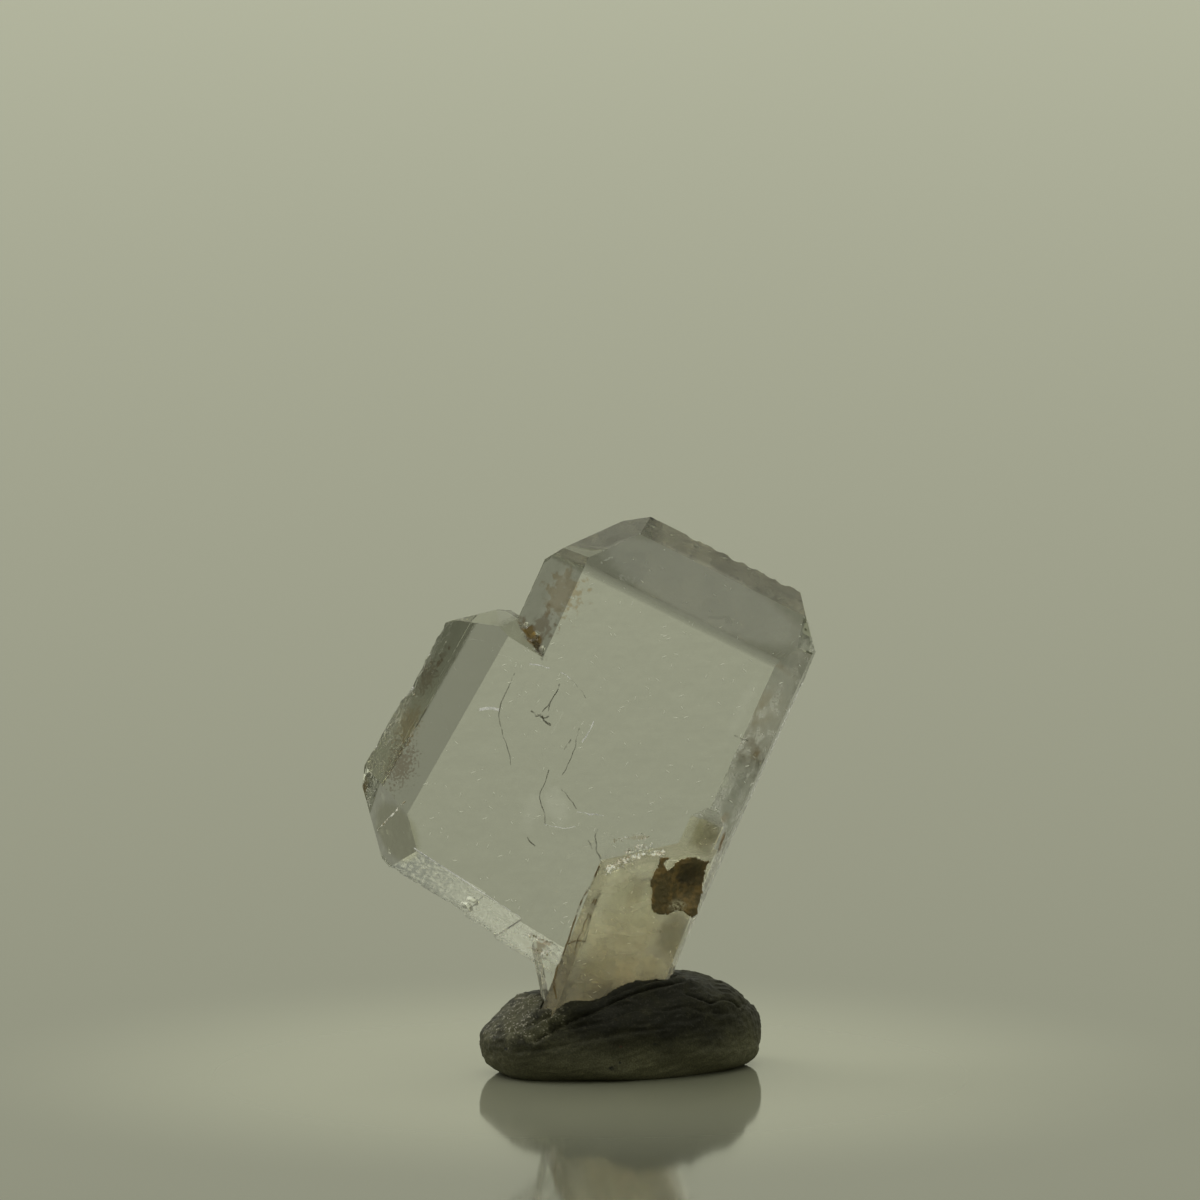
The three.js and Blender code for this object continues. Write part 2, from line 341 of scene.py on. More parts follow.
def dashes_group() -> Group:
    """Make the group for short straight scratches that lie one way.

    Returns:
        The group. Its mask is 1 on the scratches.
    """
    vector, number = "NodeSocketVector", "NodeSocketFloat"
    inputs = {
        "Place": (vector, None), "Turn": (vector, None), "Cell": (vector, (1, 0.25, 1)),
        "Share": (number, 0.4), "Width": (number, 0.12),
    }
    group = Group("Short scratches", inputs, {"Mask": number})
    wires, inside = group.wires, group.inside
    feeds = {"Vector": inside["Place"], "Rotation": inside["Turn"], "Scale": inside["Cell"]}
    local = wires.node("ShaderNodeMapping", feeds, vector_type="TEXTURE").outputs[0]
    cells = wires.node("ShaderNodeTexVoronoi", {"Vector": local, "Scale": 1.0},
                       voronoi_dimensions="2D").outputs
    chance = wires.node("ShaderNodeSeparateColor", {"Color": cells["Color"]}).outputs["Red"]
    there = wires.math("LESS_THAN", chance, inside["Share"])
    thin = wires.times(inside["Width"], SOLID_CORE)
    line = wires.step(cells["Distance"], thin, inside["Width"], 1.0, 0.0)
    wires.feed(group.out.inputs["Mask"], wires.times(line, there))
    return group


def grain_group() -> Group:
    """Make the group for a fine mineral grain.

    Returns:
        The group. Grain is a fine noise, Lumps a coarse one, and Glint marks sparse bright grains.
    """
    vector, number = "NodeSocketVector", "NodeSocketFloat"
    inputs = {"Place": (vector, None), "Fine": (number, 20.0), "Coarse": (number, 1.5),
              "Share": (number, 0.1)}
    group = Group("Mineral grain", inputs, {"Grain": number, "Lumps": number, "Glint": number})
    wires, inside = group.wires, group.inside
    for label, scale, detail in (("Grain", "Fine", 3.0), ("Lumps", "Coarse", 5.0)):
        cloud = wires.noise(inside["Place"], 1.0, detail, 0.6)
        wires.feed(cloud.node.inputs["Scale"], inside[scale])
        wires.feed(group.out.inputs[label], cloud)
    cells = wires.node("ShaderNodeTexVoronoi", {"Vector": inside["Place"], "Scale": inside["Fine"]}).outputs
    chance = wires.node("ShaderNodeSeparateColor", {"Color": cells["Color"]}).outputs["Green"]
    wires.feed(group.out.inputs["Glint"], wires.math("LESS_THAN", chance, inside["Share"]))
    return group


@dataclass(frozen=True)
class Effects:
    """The node groups that the finishes share."""

    patch: Group
    dashes: Group
    grain: Group

    @classmethod
    def made(cls) -> Effects:
        """Make the groups once."""
        return cls(patch_group(), dashes_group(), grain_group())


@dataclass(frozen=True)
class Ramp:
    """A smooth step: where it starts and ends, and its results there."""

    low: float
    high: float
    start: float = 0.0
    end: float = 1.0

    def of(self, wires: Wiring, value: Socket) -> Socket:
        """Return the step of a value."""
        return wires.step(value, self.low, self.high, self.start, self.end)


@dataclass(frozen=True)
class Mottle:
    """A cloudy noise: its scale, its octaves and how strong the fine ones are."""

    scale: float
    octaves: float = 4.0
    rough: float = 0.55

    def of(self, wires: Wiring, place: Socket) -> Socket:
        """Return the noise at a place."""
        return wires.noise(place, self.scale, self.octaves, self.rough)


@dataclass(frozen=True)
class Grain:
    """A mineral grain: the scales of its grains and of its lumps, and the share of bright grains."""

    fine: float
    coarse: float
    share: float

    def of(self, wires: Wiring, place: Socket, effects: Effects) -> bpy.types.bpy_prop_collection:
        """Return the outputs of the placed group."""
        return effects.grain.place(wires, Place=place, Fine=self.fine, Coarse=self.coarse, Share=self.share)


@dataclass(frozen=True)
class Scratches:
    """Short scratches one way: their turn, the cells for one each, the share that holds one, their width."""

    turn: float
    cell: tuple[float, float, float]
    share: float
    width: float

    def of(self, wires: Wiring, place: Socket, effects: Effects) -> Socket:
        """Return the mask of the scratches."""
        turned = (0.0, 0.0, math.radians(self.turn))
        return effects.dashes.place(
            wires, Place=place, Turn=turned, Cell=self.cell, Share=self.share, Width=self.width,
        )["Mask"]


@dataclass(frozen=True)
class Stain:
    """A ragged patch of colour: its middle, reach and turn in the plate, in mm and degrees."""

    x: float
    z: float
    across: float
    along: float
    lean: float
    colour: Colour
    strength: float
    y: float = -PLATE_HALF
    through: float = 0.5
    ragged: float = 0.5
    grain: float = 3.0
    soft: float = 0.6

    def mask(self, wires: Wiring, place: Socket, effects: Effects) -> Socket:
        """Return where the patch lies, times its strength."""
        mask = effects.patch.place(
            wires, Place=place, Centre=(self.x, self.y, self.z), Turn=(0.0, math.radians(-self.lean), 0.0),
            Radius=(self.across, self.through, self.along), Ragged=self.ragged, Soft=self.soft,
            Cloud=wires.shared_noise(place, self.grain),
        )["Mask"]
        return wires.times(mask, self.strength)

    def over(self, colour: Socket, wires: Wiring, place: Socket, effects: Effects) -> Socket:
        """Return a colour with the patch laid over it."""
        return wires.blend(self.mask(wires, place, effects), colour, self.colour)


RUST = (0.24, 0.11, 0.018)
TAN = (0.56, 0.36, 0.13)
# A dull grey that darkens the glass where it is laid
DULL_GREY = (0.34, 0.32, 0.24)
CREAM = (0.93, 0.88, 0.72)
INK = (0.008, 0.01, 0.014)
BRICK = (0.1, 0.04, 0.025)

class Zone(Enum):
    """Kinds of surface on the crystal, each an attribute of its faces."""

    ETCHED = "etched"
    MILKY = "milky"
    BROKEN = "broken"
    WORN = "worn"


@dataclass(frozen=True)
class Skin:
    """The crystal's surface while its finish is wired. The place is in mm."""

    wires: Wiring
    place: Socket
    effects: Effects
    zones: dict[Zone, Socket]
    scratches: Socket

    @property
    def shared(self) -> tuple[Wiring, Socket, Effects]:
        """Return what a stain asks for."""
        return self.wires, self.place, self.effects


# How far each zone blurs what is behind it, by a cloudy noise
BLUR = {
    Zone.ETCHED: Ramp(0.3, 0.7, 0.1, 0.32),
    Zone.MILKY: Ramp(0.3, 0.7, 0.1, 0.26),
    Zone.BROKEN: Ramp(0.3, 0.7, 0.2, 0.2),
    Zone.WORN: Ramp(0.3, 0.7, 0.08, 0.3),
}


@dataclass(frozen=True)
class QuartzFinish:
    """Clear, faintly grey quartz, with worn sides, a milky stub, iron stains and fine scratches, and a
    painted glow on its scratches, worn and etched faces and hazy patches.
    """

    name: str = "clear_quartz"
    ior: float = 1.544
    tint: Colour = (0.985, 0.99, 0.965)
    absorb: Colour = (0.69, 0.7, 0.63)
    density: float = 86.0
    polish: float = 0.003
    blur_cloud: Mottle = Mottle(2.2)

    # The milky foot, from its cream top to its brown bottom
    milk_cloud: Mottle = Mottle(1.3, 5.0, 0.6)
    milk_low: Ramp = Ramp(6.6, 3.2)
    milk_brown: float = 0.75
    milk_middle: float = 0.45
    cream: Colour = (0.82, 0.79, 0.58)
    brown: Colour = (0.34, 0.28, 0.15)

    # The frosted side, and its grey mottles to the left
    frosted: Colour = (0.62, 0.63, 0.58)
    frosted_share: float = 0.8
    shade: Colour = (0.22, 0.23, 0.24)
    shade_across: Ramp = Ramp(-3.6, -6.8)
    shade_cloud: Mottle = Mottle(6.0)
    shade_share: Ramp = Ramp(0.34, 0.58)

    # What scatters light, and the painted glow that the scratches, etched grains and worn faces give off in
    # its place
    painted_sparkle: Colour = (0.12, 0.122, 0.105)
    # Painted glints on the etched side, stronger towards its right
    painted_glint_cloud: Mottle = Mottle(9.0, 4.0, 0.7)
    painted_glint_share: Ramp = Ramp(0.5, 0.66)
    painted_glint_across: Ramp = Ramp(-6.6, -2.5, 0.05, 0.68)
    # A painted glow in patches on the worn faces
    worn_cloud: Mottle = Mottle(3.5, 4.0, 0.7)
    worn_share: Ramp = Ramp(0.42, 0.7)
    worn_painted_glow: float = 0.08
    scratch_painted_glow: float = 0.75
    scratch_blur: float = 0.5
    front_only: Ramp = Ramp(0.005 - PLATE_HALF, 0.02 - PLATE_HALF, 1.0, 0.0)
    layers: tuple[Scratches, ...] = (
        Scratches(15, (2.0, 0.25, 1), 0.16, 0.06),
        Scratches(72, (1.6, 0.25, 1), 0.12, 0.055),
        Scratches(-38, (2.4, 0.3, 1), 0.17, 0.045),
        Scratches(120, (1.2, 0.3, 1), 0.12, 0.055),
        Scratches(8, (0.6, 0.25, 1), 0.07, 0.05),
        Scratches(-8, (7.0, 0.9, 1), 0.2, 0.016),
        Scratches(50, (8.0, 1.1, 1), 0.2, 0.014),
    )

    # The fine relief and its heights in mm
    waves: Mottle = Mottle(0.9, 2.0)
    wave_height: float = 0.012
    growth: Mottle = Mottle(1.0, 2.0)
    growth_turn: float = -58.0
    growth_scale: tuple[float, float, float] = (0.4, 1, 4.0)
    growth_height: float = 0.0008
    pits: Mottle = Mottle(11.0, 4.0, 0.7)
    pit_height: float = 0.045
    lumps: Mottle = Mottle(2.2, 3.0, 0.5)
    lump_height: float = 0.035
    scratch_height: float = -0.006

    stains: tuple[Stain, ...] = (
        Stain(-2.42, 15.5, 0.3, 0.95, 17, RUST, 1.0, y=-0.5, through=1.3, ragged=0.4, grain=4.0),
        Stain(-2.36, 15.2, 0.15, 0.6, 17, (0.04, 0.022, 0.005), 0.97, y=-0.8, through=1.0, ragged=0.6,
              grain=6.0),
        Stain(-1.35, 17.0, 0.7, 0.95, -27, TAN, 0.75, y=-0.9, through=1.0, ragged=0.95, grain=4.0),
        Stain(-2.1, 15.9, 0.4, 0.6, -27, RUST, 0.7, y=-0.9, through=0.9, ragged=0.9, grain=4.0),
        Stain(-6.13, 14.2, 0.3, 0.8, -30, RUST, 0.7, y=-0.2, through=0.6, ragged=0.9, grain=12.0),
        Stain(-5.6, 14.9, 0.12, 0.7, -32, RUST, 0.8, y=0.0, through=0.5, ragged=0.6, grain=6.0),
        Stain(-6.9, 12.6, 0.35, 0.9, -25, TAN, 0.8, y=-0.3, through=0.6, ragged=1.0, grain=12.0),
        Stain(-7.3, 11.2, 0.5, 0.9, -20, RUST, 0.7, y=-0.5, through=0.8, ragged=1.1, grain=12.0),
        Stain(-7.4, 8.9, 0.7, 1.3, 20, (0.6, 0.59, 0.43), 0.8, y=-0.5, through=1.4, ragged=0.05, soft=0.3),
        Stain(3.7, 8.35, 0.8, 0.85, -14, (0.26, 0.22, 0.1), 0.9, y=TIP_FRONT, ragged=0.2),
        Stain(4.26, 8.15, 0.15, 0.62, -20, RUST, 0.95, y=TIP_FRONT, ragged=0.3),
        Stain(-1.82, 3.8, 0.07, 1.0, -8, RUST, 0.7, through=0.4, ragged=0.5),
        Stain(-2.3, 4.55, 0.5, 0.3, 40, RUST, 0.7, y=-1.0, through=0.6, ragged=1.2, grain=6.0),
        Stain(1.25, 8.35, 0.5, 0.08, 0, TAN, 0.45, ragged=0.5, grain=12.0),
        Stain(-4.95, 6.2, 0.5, 0.035, 40, RUST, 0.9, ragged=0.15),
        Stain(-3.6, 5.42, 0.65, 0.1, 29, DULL_GREY, 0.85, ragged=0.15),
        Stain(-1.2, 3.4, 0.5, 0.9, -15, DULL_GREY, 0.6, y=STUB_FRONT, ragged=0.6),
        # A darker brown patch on the stub's right, below the crust
        Stain(2.4, 4.9, 0.95, 1.1, -15, (0.2, 0.165, 0.08), 0.85, y=-1.3, through=1.3, ragged=0.2, soft=0.6),
        Stain(1.0, 6.4, 0.35, 0.9, -20, (0.5, 0.43, 0.28), 0.7, y=STUB_FRONT, ragged=0.6, soft=0.8),
        Stain(0.6, 3.6, 0.5, 0.9, -20, (0.45, 0.37, 0.22), 0.7, y=STUB_FRONT, ragged=0.7, soft=0.8),
        Stain(4.48, 8.05, 0.09, 0.5, -20, RUST, 0.95, through=0.3, ragged=0.3),
        Stain(5.1, 9.9, 0.3, 1.3, -27, (0.5, 0.51, 0.46), 0.7, through=0.3, ragged=0.5, soft=0.8),
        Stain(4.6, 8.9, 0.25, 0.15, 30, TAN, 0.6, through=0.3, ragged=0.9, grain=6.0),
    )
    # Painted light: pale hazy patches that glow as emission, on the front face, the upper left and the stub
    painted_hazes: tuple[Stain, ...] = (
        Stain(3.7, 16.93, 1.15, 5.0, 63, CREAM, 0.4, through=0.3, ragged=0.05, soft=0.3),
        Stain(-1.4, 17.0, 0.8, 1.6, -27, CREAM, 0.25, y=-0.9, through=0.8, ragged=0.4, soft=0.9),
        Stain(-2.7, 9.5, 0.45, 1.0, -20, CREAM, 0.16, through=0.3, ragged=0.2, soft=0.7),
        Stain(-1.75, 9.6, 0.55, 0.9, 20, CREAM, 0.24, through=0.3, ragged=0.15, soft=0.6),
        Stain(5.3, 12.8, 0.35, 1.6, -27, CREAM, 0.12, through=0.3, ragged=0.2, soft=0.9),
        Stain(-2.35, 4.4, 0.45, 0.3, 30, CREAM, 0.6, through=0.6, ragged=0.5),
    )

    def build(self, effects: Effects) -> bpy.types.Material:
        """Make the material.

        Args:
            effects: The shared node groups.

        Returns:
            The finished material.
        """
        material, wires, shader = blank(self.name)
        place = wires.object_mm()
        zones = {}
        for zone in Zone:
            zones[zone] = wires.node("ShaderNodeAttribute", attribute_name=zone.value).outputs["Fac"]
        skin = Skin(wires, place, effects, zones, self.scratches(wires, place, effects))
        wires.dress(shader, {
            "Base Color": self.colour(skin), "Roughness": self.roughness(skin),
            "Normal": wires.bump(self.height(skin)), "Emission Color": self.shine(skin),
            "Emission Strength": 1.0, "Transmission Weight": 1.0, "IOR": self.ior,
        })
        volume = wires.node("ShaderNodeVolumeAbsorption", {"Color": self.absorb, "Density": self.density})
        wires.dress(material.node_tree.nodes["Material Output"], {"Volume": volume.outputs["Volume"]})
        return material

    def scratches(self, wires: Wiring, place: Socket, effects: Effects) -> Socket:
        """Lay fine scratches over the front face.

        Args:
            wires: The material's tree.
            place: Object coordinates in mm.
            effects: The shared node groups.

        Returns:
            A mask of the scratches.
        """
        parts = wires.node("ShaderNodeSeparateXYZ", {"Vector": place}).outputs
        flat = wires.node("ShaderNodeCombineXYZ", {"X": parts["X"], "Y": parts["Z"]}).outputs[0]
        total = wires.most(*(layer.of(wires, flat, effects) for layer in self.layers))
        return wires.times(total, self.front_only.of(wires, parts["Y"]))

    def shine(self, skin: Skin) -> Socket:
        """Paint a glow where light would scatter: on the scratches, the hazy places, the worn faces and the
        etched grains.

        Args:
            skin: The surface.

        Returns:
            The colour that is given off.
        """
        wires, place, _ = skin.shared
        # Painted glints on the etched side, given off as emission
        painted_glints = wires.times(
            self.painted_glint_share.of(wires, self.painted_glint_cloud.of(wires, place)), skin.zones[Zone.ETCHED],
            self.painted_glint_across.of(wires, wires.axis(place, "X")),
        )
        # Painted glow on the worn faces
        worn = self.worn_share.of(wires, self.worn_cloud.of(wires, place))
        worn = wires.times(worn, skin.zones[Zone.WORN], self.worn_painted_glow)
        painted_hazes = [haze.mask(*skin.shared) for haze in self.painted_hazes]
        # Painted light: the scratches, glints, worn faces and hazes all glow in one pale colour
        total = wires.most(wires.times(skin.scratches, self.scratch_painted_glow), painted_glints, worn, *painted_hazes)
        return wires.blend(total, BLACK, self.painted_sparkle)

    def colour(self, skin: Skin) -> Socket:
        """Tint the glass: clear body, cream to brown stub, and the iron stains.

        Args:
            skin: The surface.

        Returns:
            The base colour.
        """
        wires, place, _ = skin.shared
        etched = skin.zones[Zone.ETCHED]
        low = wires.times(self.milk_low.of(wires, wires.axis(place, "Z")), self.milk_brown)
        cloud = wires.math("SUBTRACT", self.milk_cloud.of(wires, place), self.milk_middle)
        milk = wires.blend(wires.math("ADD", low, cloud, clamp=True), self.cream, self.brown)
        colour = wires.blend(skin.zones[Zone.MILKY], self.tint, milk)
        colour = wires.blend(wires.times(etched, self.frosted_share), colour, self.frosted)
        mottled = wires.times(
            self.shade_across.of(wires, wires.axis(place, "X")),
            self.shade_share.of(wires, self.shade_cloud.of(wires, place)), etched,
        )
        colour = wires.blend(mottled, colour, self.shade)
        for stain in self.stains:
            colour = stain.over(colour, *skin.shared)
        return colour

    def roughness(self, skin: Skin) -> Socket:
        """Set how far each zone blurs what is behind it.

        Args:
            skin: The surface.

        Returns:
            The roughness.
        """
        wires = skin.wires
        cloud = self.blur_cloud.of(wires, skin.place)
        blurred = [wires.times(skin.zones[zone], ramp.of(wires, cloud)) for zone, ramp in BLUR.items()]
        return wires.plus(wires.most(*blurred, wires.times(skin.scratches, self.scratch_blur)), self.polish)

    def height(self, skin: Skin) -> Socket:
        """Raise the fine relief: slow waves, growth lines, etch pits and scratches.

        Args:
            skin: The surface.

        Returns:
            The height in mm.
        """
        wires, place, zones = skin.wires, skin.place, skin.zones
        turn = (0.0, math.radians(self.growth_turn), 0.0)
        feeds = {"Vector": place, "Rotation": turn, "Scale": self.growth_scale}
        turned = wires.node("ShaderNodeMapping", feeds).outputs[0]
        pitted = wires.plus(zones[Zone.ETCHED], zones[Zone.BROKEN])
        return wires.plus(
            wires.times(self.waves.of(wires, place), self.wave_height),
            wires.times(self.growth.of(wires, turned), self.growth_height),
            wires.times(self.pits.of(wires, place), self.pit_height, pitted),
            wires.times(self.lumps.of(wires, place), self.lump_height, zones[Zone.MILKY]),
            wires.times(skin.scratches, self.scratch_height),
        )


@dataclass(frozen=True)
class PuttyFinish:
    """Dark grey-olive mineral putty, kneaded, matt, with pale grains and a few dark specks, and paler
    towards its underside by painted light from below.
    """

    name: str = "grey_putty"
    dark: Colour = (0.011, 0.0107, 0.0045)
    light: Colour = (0.17, 0.165, 0.1)
    grit: Colour = (0.32, 0.3, 0.24)
    grain: Grain = Grain(19.0, 0.9, 0.11)
    gloss: float = 0.3

    # What makes it pale: painted light from below on its underside, its lumps, its right end, and the shore
    # by the crystal's foot
    underside_light: Ramp = Ramp(2.1, 0.15)
    underside_light_share: float = 0.85
    lump_share: float = 0.9
    right_end: Ramp = Ramp(2.8, 5.4, 0.0, 0.2)
    shore: Stain = Stain(-3.2, 2.3, 1.9, 1.15, 0, light, 1.0, y=-0.6, through=2.6, grain=2.0)
    shore_share: float = 0.55

    fine_shade: Ramp = Ramp(0.35, 0.75, 0.7, 1.35)
    grit_shore: float = 0.9
    grit_share: float = 0.05
    roughness: Ramp = Ramp(0.3, 0.7, 0.54, 0.81)
    grit_polish: float = 0.35
    relief: float = 0.02
    specks: tuple[Stain, ...] = (
        Stain(-0.31, 0.52, 0.16, 0.12, 0, INK, 0.9, y=-3.05, through=0.4, ragged=0.6, grain=6.0),
        Stain(-0.05, 0.72, 0.07, 0.06, 0, INK, 0.8, y=-3.05, through=0.4, ragged=0.5, grain=6.0),
        Stain(1.2, 1.32, 0.13, 0.1, 0, INK, 0.7, y=-2.95, through=0.5, ragged=0.6, grain=6.0),
        Stain(-3.64, 1.15, 0.07, 0.07, 0, INK, 0.8, y=-1.0, through=0.6, ragged=0.4, grain=6.0),
        Stain(-0.03, 1.27, 0.08, 0.05, 0, BRICK, 0.7, y=-3.0, through=0.5, ragged=0.5, grain=6.0),
        Stain(-1.35, 0.4, 0.08, 0.06, 0, BRICK, 0.7, y=-2.9, through=0.5, ragged=0.5, grain=6.0),
        Stain(3.1, 0.75, 0.06, 0.05, 0, BRICK, 0.6, y=-2.7, through=0.5, ragged=0.5, grain=6.0),
    )

    def build(self, effects: Effects) -> bpy.types.Material:
        """Make the material.

        Args:
            effects: The shared node groups.

        Returns:
            The finished material.
        """
        material, wires, shader = blank(self.name)
        place = wires.object_mm()
        grain = self.grain.of(wires, place, effects)
        shore = self.shore.mask(wires, place, effects)
        mottled = wires.plus(
            wires.times(wires.math("SUBTRACT", grain["Lumps"], 0.5), self.lump_share),
            self.right_end.of(wires, wires.axis(place, "X")), wires.times(shore, self.shore_share),
        )
        # Painted light from below: paler towards the bottom
        underside_light = wires.times(self.underside_light.of(wires, wires.axis(place, "Z")), self.underside_light_share)
        colour = wires.blend(wires.math("ADD", underside_light, mottled, clamp=True), self.dark, self.light)
        fine = self.fine_shade.of(wires, grain["Grain"])
        fine = wires.node("ShaderNodeCombineXYZ", {"X": fine, "Y": fine, "Z": fine}).outputs[0]
        colour = wires.blend(1.0, colour, fine, "MULTIPLY")
        for speck in self.specks:
            colour = speck.over(colour, wires, place, effects)
        glint = wires.times(grain["Glint"], wires.plus(wires.times(shore, self.grit_shore), self.grit_share))
        rough = self.roughness.of(wires, grain["Lumps"])
        wires.dress(shader, {
            "Base Color": wires.blend(glint, colour, self.grit), "Specular IOR Level": self.gloss,
            "Roughness": wires.math("SUBTRACT", rough, wires.times(glint, self.grit_polish)),
            "Normal": wires.bump(wires.times(grain["Grain"], self.relief)),
        })
        return material


@dataclass(frozen=True)
class CrustFinish:
    """Iron oxide that fills a pit: olive black at its heart, brown and orange, and pale where it is worn."""

    name: str = "iron_crust"
    brown: Colour = (0.155, 0.12, 0.05)
    orange: Colour = (0.32, 0.215, 0.08)
    grain: Grain = Grain(9.0, 2.0, 0.04)
    rusty: Ramp = Ramp(0.42, 0.62)
    heart: Stain = Stain(
        3.1, 7.0, 0.72, 0.68, 0, (0.062, 0.05, 0.023), 0.85, y=CRUST_BED, through=1.0, ragged=0.4, soft=0.8,
    )
    worn: Stain = Stain(
        2.6, 5.92, 0.5, 0.3, 0, (0.55, 0.5, 0.33), 1.0, y=CRUST_BED, through=1.0, ragged=0.3, grain=9.0,
        soft=0.5,
    )
    worn_share: Ramp = Ramp(0.4, 0.62)
    roughness: float = 0.55
    relief: float = 0.05

    def build(self, effects: Effects) -> bpy.types.Material:
        """Make the material.

        Args:
            effects: The shared node groups.

        Returns:
            The finished material.
        """
        material, wires, shader = blank(self.name)
        place = wires.object_mm()
        grain = self.grain.of(wires, place, effects)
        colour = wires.blend(self.rusty.of(wires, grain["Lumps"]), self.brown, self.orange)
        colour = self.heart.over(colour, wires, place, effects)
        worn = wires.times(self.worn.mask(wires, place, effects), self.worn_share.of(wires, grain["Grain"]))
        wires.dress(shader, {
            "Base Color": wires.blend(worn, colour, self.worn.colour), "Roughness": self.roughness,
            "Normal": wires.bump(grain["Grain"], self.relief * MM),
        })
        return material


@dataclass(frozen=True)
class VeilFinish:
    """A thin cloudy film inside the crystal, with holes, of one colour above and another one below, which
    may glow with painted light.
    """

    name: str
    colour: Colour
    low_colour: Colour
    cover: float
    holes: float = 4.0
    roughness: float = 0.5
    # A painted glow in the upper colour, given off as emission
    painted_glow: float = 0.0
    see_through: float = 0.0
    lumps: float = 0.8
    mottle: float = 1.6
    change: Ramp = Ramp(3.2, 6.6)
    cloud: Ramp = Ramp(0.34, 0.6)
    fade: Ramp = Ramp(30.0, 31.0, 1.0, 0.0)

    def build(self, effects: Effects) -> bpy.types.Material:
        """Make the material.

        Args:
            effects: The shared node groups.

        Returns:
            The finished material.
        """
        material, wires, shader = blank(self.name)
        place = wires.object_mm()
        height = wires.axis(place, "Z")
        grain = Grain(self.holes, self.lumps, 0.0).of(wires, place, effects)
        cloud = wires.times(self.cloud.of(wires, grain["Grain"]), self.fade.of(wires, height))
        mottled = wires.math("SUBTRACT", wires.times(grain["Lumps"], self.mottle), self.mottle / 2)
        upper = wires.math("ADD", self.change.of(wires, height), mottled, clamp=True)
        wires.dress(shader, {
            "Base Color": wires.blend(upper, self.low_colour, self.colour),
            "Alpha": wires.times(cloud, self.cover),
            "Emission Color": wires.blend(self.painted_glow, BLACK, self.colour), "Emission Strength": 1.0,
            "Roughness": self.roughness, "Transmission Weight": self.see_through,
        })
        return material


@dataclass(frozen=True)
class FlakeFinish:
    """Crushed quartz: bright, nearly white grains, a share of them with a painted glint that glows."""

    name: str = "crushed_quartz"
    pale: Colour = (0.86, 0.86, 0.78)
    warm: Colour = (0.7, 0.6, 0.42)
    grain: Grain = Grain(12.0, 2.5, 0.4)
    warm_share: Ramp = Ramp(0.45, 0.65)
    # Painted glints: a share of the grains give off light
    painted_glow: float = 0.3
    roughness: float = 0.3

    def build(self, effects: Effects) -> bpy.types.Material:
        """Make the material.

        Args:
            effects: The shared node groups.

        Returns:
            The finished material.
        """
        material, wires, shader = blank(self.name)
        grain = self.grain.of(wires, wires.object_mm(), effects)
        # Painted glints, given off as emission
        glint = wires.times(grain["Glint"], self.painted_glow)
        wires.dress(shader, {
            "Base Color": wires.blend(self.warm_share.of(wires, grain["Lumps"]), self.pale, self.warm),
            "Emission Color": wires.blend(glint, BLACK, self.pale), "Emission Strength": 1.0,
            "Roughness": self.roughness,
        })
        return material


def smooth_path(points: list[Vector], steps: int) -> list[Vector]:
    """Run a smooth line through points.

    Args:
        points: The points, at least two.
        steps: The number of pieces between two of them.

    Returns:
        The points of the line.
    """
    ends = [points[0] * 2 - points[1], *points, points[-1] * 2 - points[-2]]
    line = []
    for before, start, end, after in zip(ends, ends[1:], ends[2:], ends[3:]):
        for index in range(steps):
            t = index / steps
            line.append(0.5 * (
                2 * start + (end - before) * t + (2 * before - 5 * start + 4 * end - after) * t * t
                + (3 * start - before - 3 * end + after) * t ** 3
            ))
    line.append(points[-1].copy())
    return line


def finished(
    name: str, mesh: bmesh.types.BMesh, material: bpy.types.Material,
) -> bpy.types.Object:
    """Turn a mesh in millimetres into a piece that rides on the body.

    Args:
        name: The piece's name.
        mesh: Its mesh in mm, freed here.
        material: Its material.

    Returns:
        The piece.
    """
    bmesh.ops.scale(mesh, vec=(MM, MM, MM), verts=mesh.verts)
    data = bpy.data.meshes.new(name)
    mesh.to_mesh(data)
    mesh.free()
    data.materials.append(material)
    piece = bpy.data.objects.new(name, data)
    bpy.context.collection.objects.link(piece)
    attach(piece, BODY)
    return piece


def node_mesh(name: str) -> bmesh.types.BMesh:
    """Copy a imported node's mesh.

    Args:
        name: The node.

    Returns:
        The copy in mm, with its loose triangles merged.
    """
    mesh = bmesh.new()
    mesh.from_mesh(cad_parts[name].data)
    bmesh.ops.scale(mesh, vec=(1 / MM, 1 / MM, 1 / MM), verts=mesh.verts)
    bmesh.ops.remove_doubles(mesh, verts=mesh.verts, dist=MERGE)
    return mesh


def modified(mesh: bmesh.types.BMesh, kind: str, **settings: object) -> bmesh.types.BMesh:
    """Run one modifier on a mesh.

    Args:
        mesh: The mesh, freed here.
        kind: The modifier's type.
        **settings: The modifier's properties.

    Returns:
        The result as a new mesh.
    """
    data = bpy.data.meshes.new("work")
    mesh.to_mesh(data)
    mesh.free()
    work = bpy.data.objects.new("work", data)
    bpy.context.collection.objects.link(work)
    modifier = work.modifiers.new("work", kind)
    for name, value in settings.items():
        setattr(modifier, name, value)
    evaluated = work.evaluated_get(bpy.context.evaluated_depsgraph_get())
    result = bmesh.new()
    result.from_mesh(evaluated.data)
    bpy.data.objects.remove(work)
    bpy.data.meshes.remove(data)
    return result


